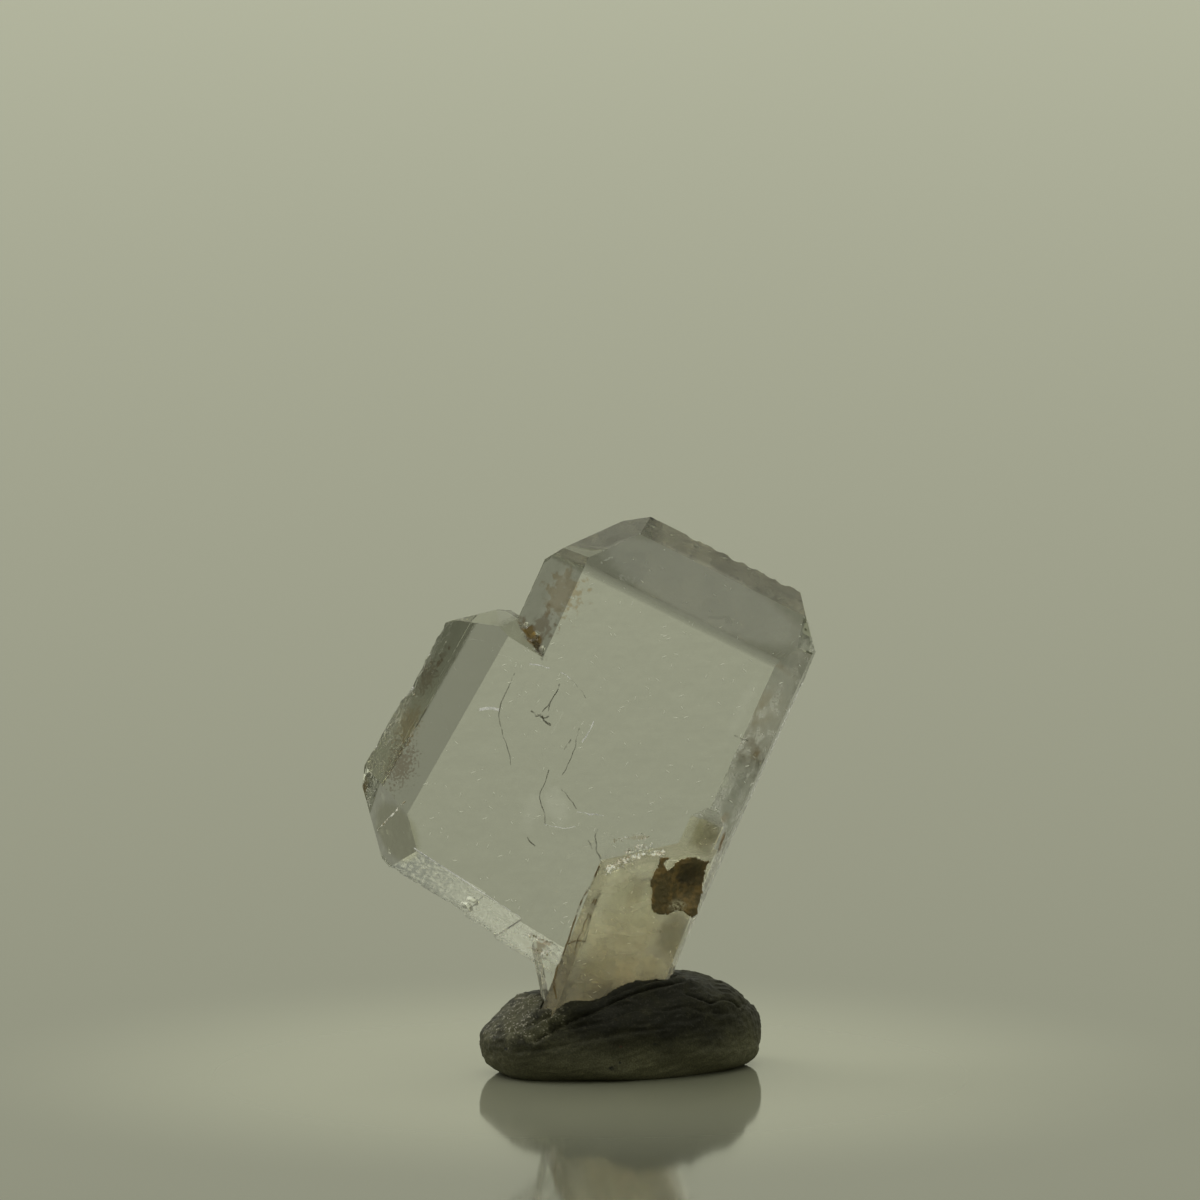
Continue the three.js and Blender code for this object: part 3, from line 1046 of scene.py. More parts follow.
@dataclass
class TwinCrystal:
    """The clear twin with its milky stub, small tip and sliver, as one body of glass. Sizes are in mm."""

    node: str = "twin_crystal"
    half_plate: float = PLATE_HALF
    slack: float = 0.01
    flat_angle: float = 0.4
    along_axis: float = 0.98

    back_round: float = 0.22
    back_segments: int = 8
    back_room: float = 2.1

    ridge_length: float = 1.2
    ridge_reach: float = 0.85
    nick_gap: float = 0.55
    nick_stray: tuple[float, float] = (0.35, 1.65)
    nick_first: tuple[float, float] = (0.2, 0.6)
    nick_last: float = 0.3
    nick_turn: tuple[float, float] = (0, 3)
    nick_from: tuple[float, float] = (-4.5, 6.0)
    nick_radius: tuple[float, float] = (0.1, 0.3)
    nick_cut: tuple[float, float] = (0.012, 0.045)
    seed: int = 7

    edge_width: float = 0.022
    edge_room: float = 3.5
    edge_angle: float = 15.0

    etched_top: float = 9.5
    etched_facing: float = 0.8
    milky_top: float = 8.6
    milky_rise: float = 0.02
    broken_from: float = 6.8
    broken_facing: float = 0.45
    chip_area: float = 0.02
    chip_facing: float = 0.2
    worn_facing: float = 0.1
    worn_along: float = 0.3

    def build(self, material: bpy.types.Material) -> bpy.types.Object:
        """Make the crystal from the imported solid.

        Args:
            material: The quartz finish.

        Returns:
            The piece.
        """
        mesh = node_mesh(self.node)
        flat = math.radians(self.flat_angle)
        bmesh.ops.dissolve_limit(mesh, angle_limit=flat, verts=mesh.verts, edges=mesh.edges)
        self.round_back(mesh)
        mesh = self.nicked(mesh)
        self.soften(mesh)
        self.mark_zones(mesh)
        piece = finished("twin_quartz", mesh, material)
        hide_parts(self.node)
        return piece

    def round_back(self, mesh: bmesh.types.BMesh) -> None:
        """Round the long edges of the back face, which the front shows as soft lines, but not the right one.

        Args:
            mesh: The crystal.
        """
        edges = [edge for edge in mesh.edges if self.rounded(edge)]
        bmesh.ops.bevel(
            mesh, geom=edges, offset=self.back_round, offset_type="OFFSET", segments=self.back_segments,
            affect="EDGES", profile=0.5, material=-1, clamp_overlap=True,
        )

    def rounded(self, edge: bmesh.types.BMEdge) -> bool:
        """Say whether an edge is a long one of the back face, and not the right one.

        Args:
            edge: The edge.

        Returns:
            Whether it is rounded.
        """
        start, end = (vert.co for vert in edge.verts)
        at_back = all(abs(vert.co.y - self.half_plate) < self.slack for vert in edge.verts)
        upright = abs((end - start).normalized().dot(A_AXIS)) > self.along_axis
        on_right = upright and (start + end).dot(A_RIGHT) > 0
        shortest = min(near.calc_length() for vert in edge.verts for near in vert.link_edges)
        return at_back and not on_right and shortest > self.back_room * self.back_round

    def nicked(self, mesh: bmesh.types.BMesh) -> bmesh.types.BMesh:
        """Cut small shell-shaped nicks into the long ridges.

        Args:
            mesh: The crystal, freed here.

        Returns:
            The nicked crystal.
        """
        dice = random.Random(self.seed)
        cutter = bmesh.new()
        for edge in sorted(mesh.edges, key=lambda e: tuple(e.verts[0].co) + tuple(e.verts[1].co)):
            start, end = (vert.co for vert in edge.verts)
            middle = (start + end) / 2
            if edge.calc_length() < self.ridge_length or len(edge.link_faces) != 2:
                continue
            if abs(middle.y) > self.ridge_reach:
                continue
            if middle.z < self.nick_from[1] or middle.x < self.nick_from[0]:
                continue
            out = (edge.link_faces[0].normal + edge.link_faces[1].normal).normalized()
            along = dice.uniform(*self.nick_first)
            while along < edge.calc_length() - self.nick_last:
                radius, cut = dice.uniform(*self.nick_radius), dice.uniform(*self.nick_cut)
                centre = start.lerp(end, along / edge.calc_length()) + out * (radius - cut)
                turns = [dice.uniform(*self.nick_turn) for _ in range(2)]
                turn = Euler((*turns, 0)).to_matrix().to_4x4()
                matrix = Matrix.Translation(centre) @ turn
                bmesh.ops.create_icosphere(cutter, subdivisions=2, radius=radius, matrix=matrix)
                along += dice.uniform(*self.nick_stray) * self.nick_gap + radius
        data = bpy.data.meshes.new("nicks")
        cutter.to_mesh(data)
        cutter.free()
        tool = bpy.data.objects.new("nicks", data)
        bpy.context.collection.objects.link(tool)
        cut = {"operation": "DIFFERENCE", "object": tool, "solver": "EXACT", "use_self": True}
        result = modified(mesh, "BOOLEAN", **cut)
        bpy.data.objects.remove(tool)
        bpy.data.meshes.remove(data)
        bmesh.ops.remove_doubles(result, verts=result.verts, dist=MERGE / 2)
        return result

    def soften(self, mesh: bmesh.types.BMesh) -> None:
        """Take the sharpness off the long clean edges.

        Args:
            mesh: The crystal.
        """
        room = self.edge_room * self.edge_width
        roomy = {vert for vert in mesh.verts if all(edge.calc_length() > room for edge in vert.link_edges)}
        edges = [
            edge for edge in mesh.edges
            if len(edge.link_faces) == 2 and edge.calc_face_angle() > math.radians(self.edge_angle)
            and edge.verts[0] in roomy and edge.verts[1] in roomy
        ]
        bmesh.ops.bevel(
            mesh, geom=edges, offset=self.edge_width, offset_type="OFFSET", segments=2, affect="EDGES",
            profile=0.5, material=-1, clamp_overlap=True,
        )

    def mark_zones(self, mesh: bmesh.types.BMesh) -> None:
        """Give each face its zones: etched lower sides, milky stub, and broken rims.

        Args:
            mesh: The crystal.
        """
        layers = {zone: mesh.faces.layers.float.new(zone.value) for zone in Zone}
        for face in mesh.faces:
            face.smooth = False
            for zone, held in self.zones(face).items():
                face[layers[zone]] = float(held)

    def zones(self, face: bmesh.types.BMFace) -> dict[Zone, bool]:
        """Work out the zones that a face lies in.

        Args:
            face: A face of the crystal.

        Returns:
            Whether it lies in each zone.
        """
        normal, middle = face.normal, face.calc_center_median()
        beyond = abs(middle.y) > self.half_plate + self.milky_rise
        at_right = normal.dot(A_RIGHT) > self.worn_facing and middle.dot(A_RIGHT) > 0
        to_back = normal.y > self.worn_facing and abs(normal.dot(A_AXIS)) < self.worn_along
        rim = normal.z > self.broken_facing and middle.z > self.broken_from
        chip = normal.z > self.chip_facing and face.calc_area() < self.chip_area
        return {
            Zone.ETCHED: normal.dot(B_UNDER) > self.etched_facing and middle.z < self.etched_top,
            Zone.WORN: at_right and to_back,
            Zone.MILKY: beyond and middle.z < self.milky_top,
            Zone.BROKEN: beyond and (rim or chip),
        }


@dataclass(frozen=True)
class Crease:
    """A groove with a lip under it: its points across and up as seen from the left, its width and depths."""

    points: tuple[tuple[float, float], ...]
    width: float
    depth: float
    lip: float
    reach: float = 5.0
    lip_width: float = 2.5
    bank: float = 0.6

    def relief(self, across: float, up: float) -> float:
        """Work out how far the groove moves the surface.

        Args:
            across: Where the place is seen, to the right.
            up: Where the place is seen, upwards.

        Returns:
            The distance outwards.
        """
        reach = self.reach * self.width
        if not (self.points[0][0] - reach < across < self.points[-1][0] + reach):
            return 0.0
        best, below = reach, False
        for (x0, z0), (x1, z1) in zip(self.points, self.points[1:]):
            along = ((across - x0) * (x1 - x0) + (up - z0) * (z1 - z0)) / ((x1 - x0) ** 2 + (z1 - z0) ** 2)
            along = min(max(along, 0.0), 1.0)
            x, z = x0 + along * (x1 - x0), z0 + along * (z1 - z0)
            away = math.hypot(across - x, up - z)
            if away < best:
                best, below = away, up < z
        groove = self.depth * math.exp(-((best / self.width) ** 2))
        lip = self.lip * math.exp(-((best / (self.lip_width * self.width)) ** 2)) if best < reach else 0.0
        return (lip if below else -self.bank * lip) - groove


CREASES = (
    Crease(((-1.9, 1.15), (-1.56, 1.36), (-1.07, 1.6), (-0.44, 1.92), (0.19, 2.2), (0.96, 2.55),
            (1.59, 2.79),
            (2.29, 3.0), (2.99, 3.14), (3.4, 3.22)), 0.075, 0.11, 0.08),
    Crease(((0.5, 2.55), (1.2, 2.9), (1.9, 3.12), (2.6, 3.3), (3.3, 3.42)), 0.07, 0.06, 0.05),
    Crease(((3.41, 2.76), (3.9, 2.58), (4.32, 2.44), (4.67, 2.58), (5.09, 2.51), (5.44, 2.27)), 0.055, 0.13,
           0.04),
    Crease(((-1.84, 1.15), (-0.72, 1.57), (0.54, 1.85), (1.5, 2.2)), 0.07, 0.045, 0.04),
    Crease(((-2.5, 0.75), (-1.42, 0.87), (0.12, 1.22), (1.76, 1.5), (2.6, 1.55)), 0.08, 0.04, 0.03),
    Crease(((-3.2, 1.35), (-2.6, 1.5), (-1.9, 1.75), (-1.2, 2.1)), 0.08, 0.06, 0.05),
    Crease(((2.6, 2.2), (3.4, 2.3), (4.0, 2.1), (4.8, 2.0)), 0.08, 0.035, 0.03),
)


@dataclass(frozen=True)
class Swell:
    """A slow noise in space: its scale in folds a millimetre and its height in mm."""

    scale: float
    height: float

    def at(self, place: Vector) -> float:
        """Return the height at a place."""
        return self.height * noise.noise(place * self.scale)


@dataclass(frozen=True)
class Ridges:
    """A noise with sharp ridges: its scale, its height and mean in mm, and the shape of its octaves."""

    scale: float = 2.6
    height: float = 0.035
    mean: float = 0.032
    shape: tuple[float, float, int, float, float] = (0.8, 2.1, 4, 0.9, 2.0)

    def at(self, place: Vector) -> float:
        """Return the height at a place."""
        return self.height * noise.ridged_multi_fractal(place * self.scale, *self.shape) - self.mean


@dataclass
class PuttyLump:
    """The kneaded lump of putty under the crystal. Sizes are in mm."""

    node: str = "putty"
    voxel: float = 0.055
    view: float = -22.0
    stretch: tuple[float, float, float] = (0.5, 1.1, 1.5)
    sag: float = 0.25
    fold: Swell = Swell(1.6, 0.07)
    fold_mean: float = 0.014
    wrinkles: Ridges = Ridges()
    lumps: Swell = Swell(0.9, 0.05)
    grain: Swell = Swell(7.0, 0.01)
    pebbles: Swell = Swell(4.5, 0.05)
    shore: tuple[float, float] = (-3.0, 1.7)
    shoulder: tuple[float, float, float, float, float] = (6.0, 1.1, 2.55, 0.85, 0.42)
    facing: float = 0.1
    up_by: tuple[float, float] = (0.04, 0.1)
    rim: float = 0.35

    def build(self, material: bpy.types.Material) -> bpy.types.Object:
        """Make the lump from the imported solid.

        Args:
            material: The putty finish.

        Returns:
            The piece.
        """
        mesh = node_mesh(self.node)
        mesh = modified(mesh, "REMESH", mode="VOXEL", voxel_size=self.voxel, adaptivity=0.0)
        mesh.normal_update()
        moves = {vert: vert.normal * self.relief(vert.co, vert.normal) for vert in mesh.verts}
        for vert, move in moves.items():
            vert.co += move
            vert.co.z = max(vert.co.z, 0.0)
        for face in mesh.faces:
            face.smooth = True
        piece = finished("putty_lump", mesh, material)
        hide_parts(self.node)
        return piece

    def relief(self, place: Vector, normal: Vector) -> float:
        """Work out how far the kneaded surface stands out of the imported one.

        Args:
            place: A point of the surface.
            normal: Its normal.

        Returns:
            The distance, mostly below 0.15 mm.
        """
        stretch = Vector(self.stretch)
        flow = place * stretch - Vector((0, 0, self.sag * place.x))
        folds = abs(self.fold.at(flow)) - self.fold_mean
        middle, reach = self.shore
        shore = math.exp(-(((place.x - middle) / reach) ** 2)) * max(normal.z, 0.0)
        kneaded = folds + self.wrinkles.at(flow) + self.lumps.at(place) + self.grain.at(place)
        pebbles = shore * self.pebbles.at(place)
        x, width, z, height, cut = self.shoulder
        slump = -cut * math.exp(-(((place.x - x) / width) ** 2) - ((place.z - z) / height) ** 2)
        turn = math.radians(self.view)
        right = Vector((math.cos(turn), math.sin(turn), 0))
        creases = 0.0
        if normal.dot(Vector((right.y, -right.x, self.facing))) > 0:
            up = place.z + self.up_by[0] * place.x + self.up_by[1] * place.y
            creases = sum(crease.relief(place.dot(right), up) for crease in CREASES)
        return min(place.z / self.rim, 1.0) * (kneaded + pebbles + slump + creases)


@dataclass
class IronCrust:
    """The iron oxide that lines the pit in the stub's front and laps over its rim. Sizes are in mm."""

    rim: tuple[tuple[float, float], ...] = (
        (1.95, 7.6), (2.21, 7.68), (2.48, 7.49), (2.78, 7.6), (3.23, 7.62), (3.73, 7.45), (3.69, 7.09),
        (3.55, 6.54), (3.5, 6.12), (3.36, 5.7), (3.2, 5.5), (2.98, 5.58), (2.8, 5.75), (2.5, 5.76),
        (2.3, 5.72),
        (2.1, 5.72), (1.9, 5.68), (1.62, 5.78), (1.64, 6.43), (1.58, 6.79), (1.78, 7.31),
    )
    window: tuple[float, float, float, float] = (2.3, 7.42, 0.2, 0.2)
    floor: float = CRUST_BED
    margin: float = 0.2
    pit: tuple[float, float, float, float] = (2.14, 3.89, 5.82, 7.42)
    rise: float = 0.26
    slope: float = 0.55
    thickness: float = 0.06
    cell: float = 0.04
    ragged: float = 0.07
    bays: tuple[float, float] = (3.5, 1.0)
    teeth: tuple[float, float] = (11.0, 0.5)
    bump: float = 0.06
    bump_scale: float = 4.0
    bump_shape: tuple[float, float, int] = (0.7, 2.0, 4)
    deep_bump: float = 1.6

    def build(self, material: bpy.types.Material) -> bpy.types.Object:
        """Make the crust as a thin ragged sheet.

        Args:
            material: The crust finish.

        Returns:
            The piece.
        """
        mesh = bmesh.new()
        left, right = min(x for x, _ in self.rim) - self.margin, max(x for x, _ in self.rim) + self.margin
        low, high = min(z for _, z in self.rim) - self.margin, max(z for _, z in self.rim) + self.margin
        columns, rows = round((right - left) / self.cell), round((high - low) / self.cell)
        verts = {
            (column, row): mesh.verts.new(self.place(left + column * self.cell, low + row * self.cell))
            for column in range(columns + 1) for row in range(rows + 1)
        }
        for column in range(columns):
            for row in range(rows):
                ring = [(column, row), (column + 1, row), (column + 1, row + 1), (column, row + 1)]
                if self.covered(left + (column + 0.5) * self.cell, low + (row + 0.5) * self.cell):
                    mesh.faces.new([verts[corner] for corner in ring])
        bmesh.ops.delete(mesh, geom=[vert for vert in mesh.verts if not vert.link_faces], context="VERTS")
        bmesh.ops.solidify(mesh, geom=mesh.faces, thickness=self.thickness)
        bmesh.ops.recalc_face_normals(mesh, faces=mesh.faces)
        for face in mesh.faces:
            face.smooth = True
        return finished("iron_crust", mesh, material)

    def place(self, x: float, z: float) -> Vector:
        """Return the crust's point at a place of the stub's front: sunk in the pit, else on the skin."""
        left, right, low, high = self.pit
        beyond = max(self.slope + max(left - x, x - right, low - z, z - high), 0.0)
        lift = self.rise * min(beyond / self.slope, 1.0)
        bumps = self.bump * noise.fractal(Vector((x, 0, z)) * self.bump_scale, *self.bump_shape)
        return Vector((x, self.floor - lift - abs(bumps) * (1.0 if beyond else self.deep_bump), z))

    def covered(self, x: float, z: float) -> bool:
        """Say whether the crust covers a place of the stub's front."""
        stray = Vector()
        for layer, (scale, share) in enumerate((self.bays, self.teeth), 1):
            stray += noise.noise_vector(Vector((x * scale, layer, z * scale))) * self.ragged * share
        x, z = x + stray.x, z + stray.z
        inside = False
        for (x0, z0), (x1, z1) in zip(self.rim, self.rim[1:] + self.rim[:1]):
            if (z0 > z) != (z1 > z) and x < x0 + (z - z0) / (z1 - z0) * (x1 - x0):
                inside = not inside
        wx, wz, across, along = self.window
        return inside and ((x - wx) / across) ** 2 + ((z - wz) / along) ** 2 > 1.0


@dataclass(frozen=True)
class Crack:
    """A thin sheet inside the plate, seen nearly edge on: its line on the front face and its depths."""

    points: tuple[tuple[float, float], ...]
    near: float
    far: float
    thickness: float = 0.02
    sway: float = 0.05
    front: float = -PLATE_HALF


class CrackKind(Enum):
    """How a crack looks."""

    DARK = "dark_cracks"
    EDGE = "brown_edges"
    WHITE = "white_cracks"


CRACKS: dict[CrackKind, tuple[Crack, ...]] = {
    CrackKind.DARK: (
        Crack(((-3.34, 14.36), (-3.5, 14.05), (-3.64, 13.76), (-3.87, 13.33), (-3.93, 13.0)),
              0.15, 0.4, 0.035, 0.03),
        Crack(((-3.93, 13.0), (-3.85, 12.5), (-3.72, 12.0), (-3.56, 11.56), (-3.5, 11.1)), 0.2, 0.3, 0.02,
              0.05),
        Crack(((-1.68, 13.91), (-1.85, 13.5), (-2.05, 13.2), (-2.3, 12.95)), 0.1, 0.3, 0.03),
        Crack(((-1.72, 13.75), (-2.0, 13.2), (-2.05, 12.95)), 0.15, 0.35, 0.02),
        Crack(((-2.75, 13.05), (-2.45, 12.85), (-2.2, 12.62), (-1.95, 12.48)), 0.2, 0.35, 0.04, 0.12),
        Crack(((-2.6, 12.85), (-2.3, 12.7), (-2.1, 12.75)), 0.25, 0.35, 0.03, 0.12),
        Crack(((-0.93, 12.3), (-1.15, 11.46), (-1.57, 10.67)), 0.5, 0.62, 0.02),
        Crack(((-1.25, 11.9), (-1.5, 11.6)), 0.5, 0.6, 0.03, 0.1),
        Crack(((-2.07, 10.87), (-2.2, 10.5), (-2.4, 10.07), (-2.36, 9.7), (-2.25, 9.39), (-2.2, 9.0)),
              0.3, 0.5, 0.03, 0.03),
        Crack(((-1.6, 10.2), (-1.2, 9.75), (-1.0, 9.45)), 0.35, 0.42, 0.02),
        Crack(((4.95, 11.8), (5.2, 11.66), (5.5, 11.6)), 0.02, 0.08, 0.025),
        Crack(((-1.2, 13.98), (-0.9, 13.7), (-0.7, 13.35)), 0.2, 0.24, 0.012),
        Crack(((-0.25, 8.7), (-0.3, 8.2), (-0.12, 7.61)), 0.1, 0.25, 0.03, 0.1),
        Crack(((-0.6, 8.4), (-0.45, 8.0)), 0.1, 0.2, 0.02, 0.1),
        Crack(((-2.9, 8.6), (-2.55, 8.25)), 0.3, 0.4, 0.03),
    ),
    CrackKind.EDGE: (
        Crack(((-0.36, 7.5), (-0.62, 6.9), (-1.02, 6.31), (-1.52, 4.94), (-2.05, 3.62), (-1.99, 2.9)),
              0.02, 0.16, 0.045, 0.03, STUB_FRONT),
        Crack(((-0.25, 6.5), (-0.62, 5.75), (-0.85, 5.0), (-1.05, 4.6)), 0.05, 0.2, 0.015, 0.05, STUB_FRONT),
        Crack(((-0.5, 6.35), (-0.85, 5.55), (-1.15, 4.9), (-1.3, 4.4)), 0.04, 0.2, 0.015, 0.04, STUB_FRONT),
        Crack(((-1.52, 4.8), (-1.2, 4.9), (-0.85, 4.88)), 0.04, 0.2, 0.03, 0.03, STUB_FRONT),
    ),
    CrackKind.WHITE: (
        Crack(((-4.66, 13.15), (-4.29, 13.2), (-3.91, 13.12)), 0.1, 0.2, 0.09, 0.02),
        Crack(((-7.08, 8.42), (-6.3, 7.9), (-5.3, 7.24), (-4.44, 6.66)), 0.015, 0.045, 0.035, 0.01),
        Crack(((-4.44, 6.66), (-3.8, 6.23), (-3.15, 5.8)), 0.015, 0.04, 0.018, 0.01),
        Crack(((-2.78, 14.66), (-2.4, 14.6), (-2.02, 14.49)), 0.1, 0.16, 0.03),
        Crack(((-1.6, 14.3), (-1.4, 14.15), (-1.2, 13.98)), 0.2, 0.24, 0.02),
        Crack(((-0.38, 12.56), (-0.5, 12.3), (-0.66, 12.05), (-0.81, 11.8)), 0.2, 0.28, 0.035),
        Crack(((-2.17, 9.0), (-1.6, 8.82), (-1.08, 8.85)), 0.2, 0.24, 0.015),
        Crack(((-1.0, 9.35), (-0.5, 9.3), (0.0, 9.2)), 0.2, 0.23, 0.012),
    ),
}
LOOKS: dict[CrackKind, VeilFinish] = {
    CrackKind.DARK: VeilFinish("dark_crack", (0.15, 0.13, 0.07), (0.15, 0.13, 0.07), 0.55, 4.0),
    CrackKind.EDGE: VeilFinish("brown_edge", (0.26, 0.17, 0.06), (0.3, 0.21, 0.09), 0.8, 2.0),
    # The white cracks glow with painted light
    CrackKind.WHITE: VeilFinish("white_crack", (0.9, 0.9, 0.86), (0.8, 0.8, 0.74), 0.95, 5.0, 0.3, 0.24),
}


@dataclass
class Cracks:
    """The cracks of one kind as one piece of thin closed sheets. Sizes are in mm."""

    kind: CrackKind
    line_steps: int = 8
    deep_steps: int = 4
    sway_scale: float = 3.0
    ripple_scale: float = 5.0
    ripple: float = 0.3

    def build(self, material: bpy.types.Material) -> bpy.types.Object:
        """Make the sheets.

        Args:
            material: The veil finish.

        Returns:
            The piece.
        """
        mesh = bmesh.new()
        for crack in CRACKS[self.kind]:
            self.sheet(mesh, crack)
        for face in mesh.faces:
            face.smooth = True
        return finished(self.kind.value, mesh, material)

    def sheet(self, mesh: bmesh.types.BMesh, crack: Crack) -> None:
        """Add one closed sheet.

        Args:
            mesh: The mesh that it goes into.
            crack: Its line and depths.
        """
        part = bmesh.new()
        line = smooth_path([Vector((x, crack.front, z)) for x, z in crack.points], self.line_steps)
        verts = []
        for place in line:
            sway = noise.noise_vector(place * self.sway_scale) * crack.sway
            verts.append(part.verts.new(self.inside(place, crack.near) + sway))
        edges = [part.edges.new(pair) for pair in zip(verts, verts[1:])]
        deeper = self.inside(Vector(), crack.far - crack.near) / self.deep_steps
        for step in range(self.deep_steps):
            grown = bmesh.ops.extrude_edge_only(part, edges=edges)["geom"]
            fresh = [item for item in grown if isinstance(item, bmesh.types.BMVert)]
            bmesh.ops.translate(part, vec=deeper, verts=fresh)
            for vert in fresh:
                ripple = noise.noise_vector(vert.co * self.ripple_scale + Vector((step, 0, 0)))
                vert.co += ripple * self.ripple * crack.sway
            edges = [item for item in grown if isinstance(item, bmesh.types.BMEdge)]
        bmesh.ops.recalc_face_normals(part, faces=part.faces)
        bmesh.ops.solidify(part, geom=part.faces, thickness=crack.thickness)
        data = bpy.data.meshes.new("sheet")
        part.to_mesh(data)
        part.free()
        mesh.from_mesh(data)
        bpy.data.meshes.remove(data)

    def inside(self, place: Vector, depth: float) -> Vector:
        """Return the point that is seen at a place of the front face from a depth under it."""
        return place + Vector((SIGHT[0], 1.0, SIGHT[1])) * depth


# The milky clouds glow faintly with painted light
CLOUD_LOOK = VeilFinish(
    "milky_cloud", (0.99, 0.975, 0.82), (0.97, 0.9, 0.66), 0.45, 0.7, roughness=0.8, painted_glow=0.08,
    see_through=1.0,
    cloud=Ramp(0.3, 0.72), fade=Ramp(7.0, 8.2, 1.0, 0.0),
)


@dataclass
class Clouds:
    """Thin cloudy films that slant in the foot of the crystal, one above the other. Sizes are in mm."""

    node: str = "twin_crystal"
    first: float = 1.2
    last: float = 8.6
    gap: float = 0.9
    across: tuple[float, float] = (-2.3, 4.6)
    deep: tuple[float, float] = (-1.7, 1.5)
    slant: float = 1.0
    cell: float = 0.14
    margin: float = 0.08
    swell: Swell = Swell(0.7, 0.35)
    thickness: float = 0.012
    left_edge: tuple[tuple[float, float], tuple[float, float]] = ((-0.2, 7.6), (-1.85, 3.6))

    def build(self, material: bpy.types.Material) -> bpy.types.Object:
        """Make the films as closed thin sheets that keep clear of the crystal's skin.

        Args:
            material: The film's finish.

        Returns:
            The piece.
        """
        solid = node_mesh(self.node)
        tree = BVHTree.FromBMesh(solid)
        solid.free()
        mesh = bmesh.new()
        for index in range(round((self.last - self.first) / self.gap) + 1):
            self.film(mesh, self.first + index * self.gap, tree)
        for face in mesh.faces:
            face.smooth = True
        return finished("milky_clouds", mesh, material)

    def film(self, mesh: bmesh.types.BMesh, height: float, tree: BVHTree) -> None:
        """Add one film.

        Args:
            mesh: The mesh that it goes into.
            height: Where it crosses the middle of the plate.
            tree: The crystal's surface.
        """
        columns = round((self.across[1] - self.across[0]) / self.cell)
        rows = round((self.deep[1] - self.deep[0]) / self.cell)
        verts = {}
        for column in range(columns + 1):
            for row in range(rows + 1):
                x, y = self.across[0] + column * self.cell, self.deep[0] + row * self.cell
                place = Vector((x, y, height + self.slant * y))
                place.z += self.swell.at(place)
                if self.inside(place, tree):
                    verts[column, row] = mesh.verts.new(place)
        sheet = []
        for column, row in verts:
            ring = [(column, row), (column + 1, row), (column + 1, row + 1), (column, row + 1)]
            if all(corner in verts for corner in ring):
                sheet.append(mesh.faces.new([verts[corner] for corner in ring]))
        loose = [vert for vert in verts.values() if not vert.link_faces]
        bmesh.ops.delete(mesh, geom=loose, context="VERTS")
        bmesh.ops.solidify(mesh, geom=sheet, thickness=self.thickness)

    def inside(self, place: Vector, tree: BVHTree) -> bool:
        """Say whether a place lies well inside the crystal, in or behind the stub.

        Args:
            place: The place.
            tree: The crystal's surface.

        Returns:
            Whether a film may reach it.
        """
        near, normal, _, away = tree.find_nearest(place)
        (x0, z0), (x1, z1) = self.left_edge
        edge = x0 + (x1 - x0) * (z0 - place.z) / (z0 - z1)
        beside = place.x - edge - SIGHT[0] * (place.y - STUB_FRONT)
        return away > self.margin and (place - near).dot(normal) < 0 and beside > 0


@dataclass(frozen=True)
class Scatter:
    """A strip of crushed grains: its line, how far they stray from it, their number and their sizes."""

    line: tuple[tuple[float, float, float], ...]
    stray: tuple[float, float, float]
    count: int
    size: tuple[float, float]


SCATTERS = (
    Scatter(((-0.1, -1.72, 7.3), (0.7, -1.6, 7.75), (1.5, -1.55, 7.95), (2.2, -1.6, 7.85)),
            (0.06, 0.08, 0.06), 260, (0.02, 0.06)),
    Scatter(((0.3, -1.35, 8.25), (1.1, -1.35, 8.4), (1.7, -1.35, 8.35)), (0.05, 0.03, 0.05), 30,
            (0.015, 0.035)),
    Scatter(((-7.83, 0.3, 8.85), (-7.7, -0.3, 9.3), (-7.5, -0.75, 9.65), (-7.34, -1.1, 10.0)),
            (0.01, 0.01, 0.012), 260, (0.012, 0.026)),
    Scatter(((-2.9, -1.2, 4.75), (-2.4, -1.3, 4.5), (-2.1, -1.32, 4.35)), (0.12, 0.05, 0.08), 70,
            (0.02, 0.05)),
)


@dataclass
class Flakes:
    """Crushed grains of quartz on the broken rims and on the chipped corner. Sizes are in mm."""

    node: str = "twin_crystal"
    seed: int = 11
    sink: float = 0.3
    line_steps: int = 12

    def build(self, material: bpy.types.Material) -> bpy.types.Object:
        """Make the grains on the crystal's skin.

        Args:
            material: The grains' finish.

        Returns:
            The piece.
        """
        solid = node_mesh(self.node)
        tree = BVHTree.FromBMesh(solid)
        solid.free()
        dice = random.Random(self.seed)
        mesh = bmesh.new()
        for scatter in SCATTERS:
            line = smooth_path([Vector(point) for point in scatter.line], self.line_steps)
            for _ in range(scatter.count):
                place = dice.choice(line) + Vector([dice.gauss(0, stray) for stray in scatter.stray])
                near, normal, _, _ = tree.find_nearest(place)
                splinter(mesh, near - normal * dice.uniform(*scatter.size) * self.sink, dice, scatter.size)
        return finished("crushed_rim", mesh, material)


# The reach of a splinter along its three axes, each way
SPLINTER = (1.6, 1.6, 0.9, 0.9, 0.7, 0.7)
SIX_WAYS = ((1, 0, 0), (-1, 0, 0), (0, 1, 0), (0, -1, 0), (0, 0, 1), (0, 0, -1))


def splinter(
    mesh: bmesh.types.BMesh, place: Vector, dice: random.Random, sizes: tuple[float, float],
) -> None:
    """Add one splinter: a crooked solid with eight faces.

    Args:
        mesh: The mesh that it goes into.
        place: Its middle.
        dice: The source of its shape.
        sizes: Its least and greatest radius.
    """
    turn = Euler([dice.uniform(0, math.tau) for _ in range(3)]).to_matrix()
    reach = [dice.uniform(*sizes) * stretch for stretch in SPLINTER]
    verts = [mesh.verts.new(place + turn @ (Vector(way) * length)) for way, length in zip(SIX_WAYS, reach)]
    for x_side in (0, 1):
        for y_side in (2, 3):
            for z_side in (4, 5):
                ring = [verts[x_side], verts[y_side], verts[z_side]]
                if (x_side + y_side + z_side) % 2:
                    ring.reverse()
                mesh.faces.new(ring)


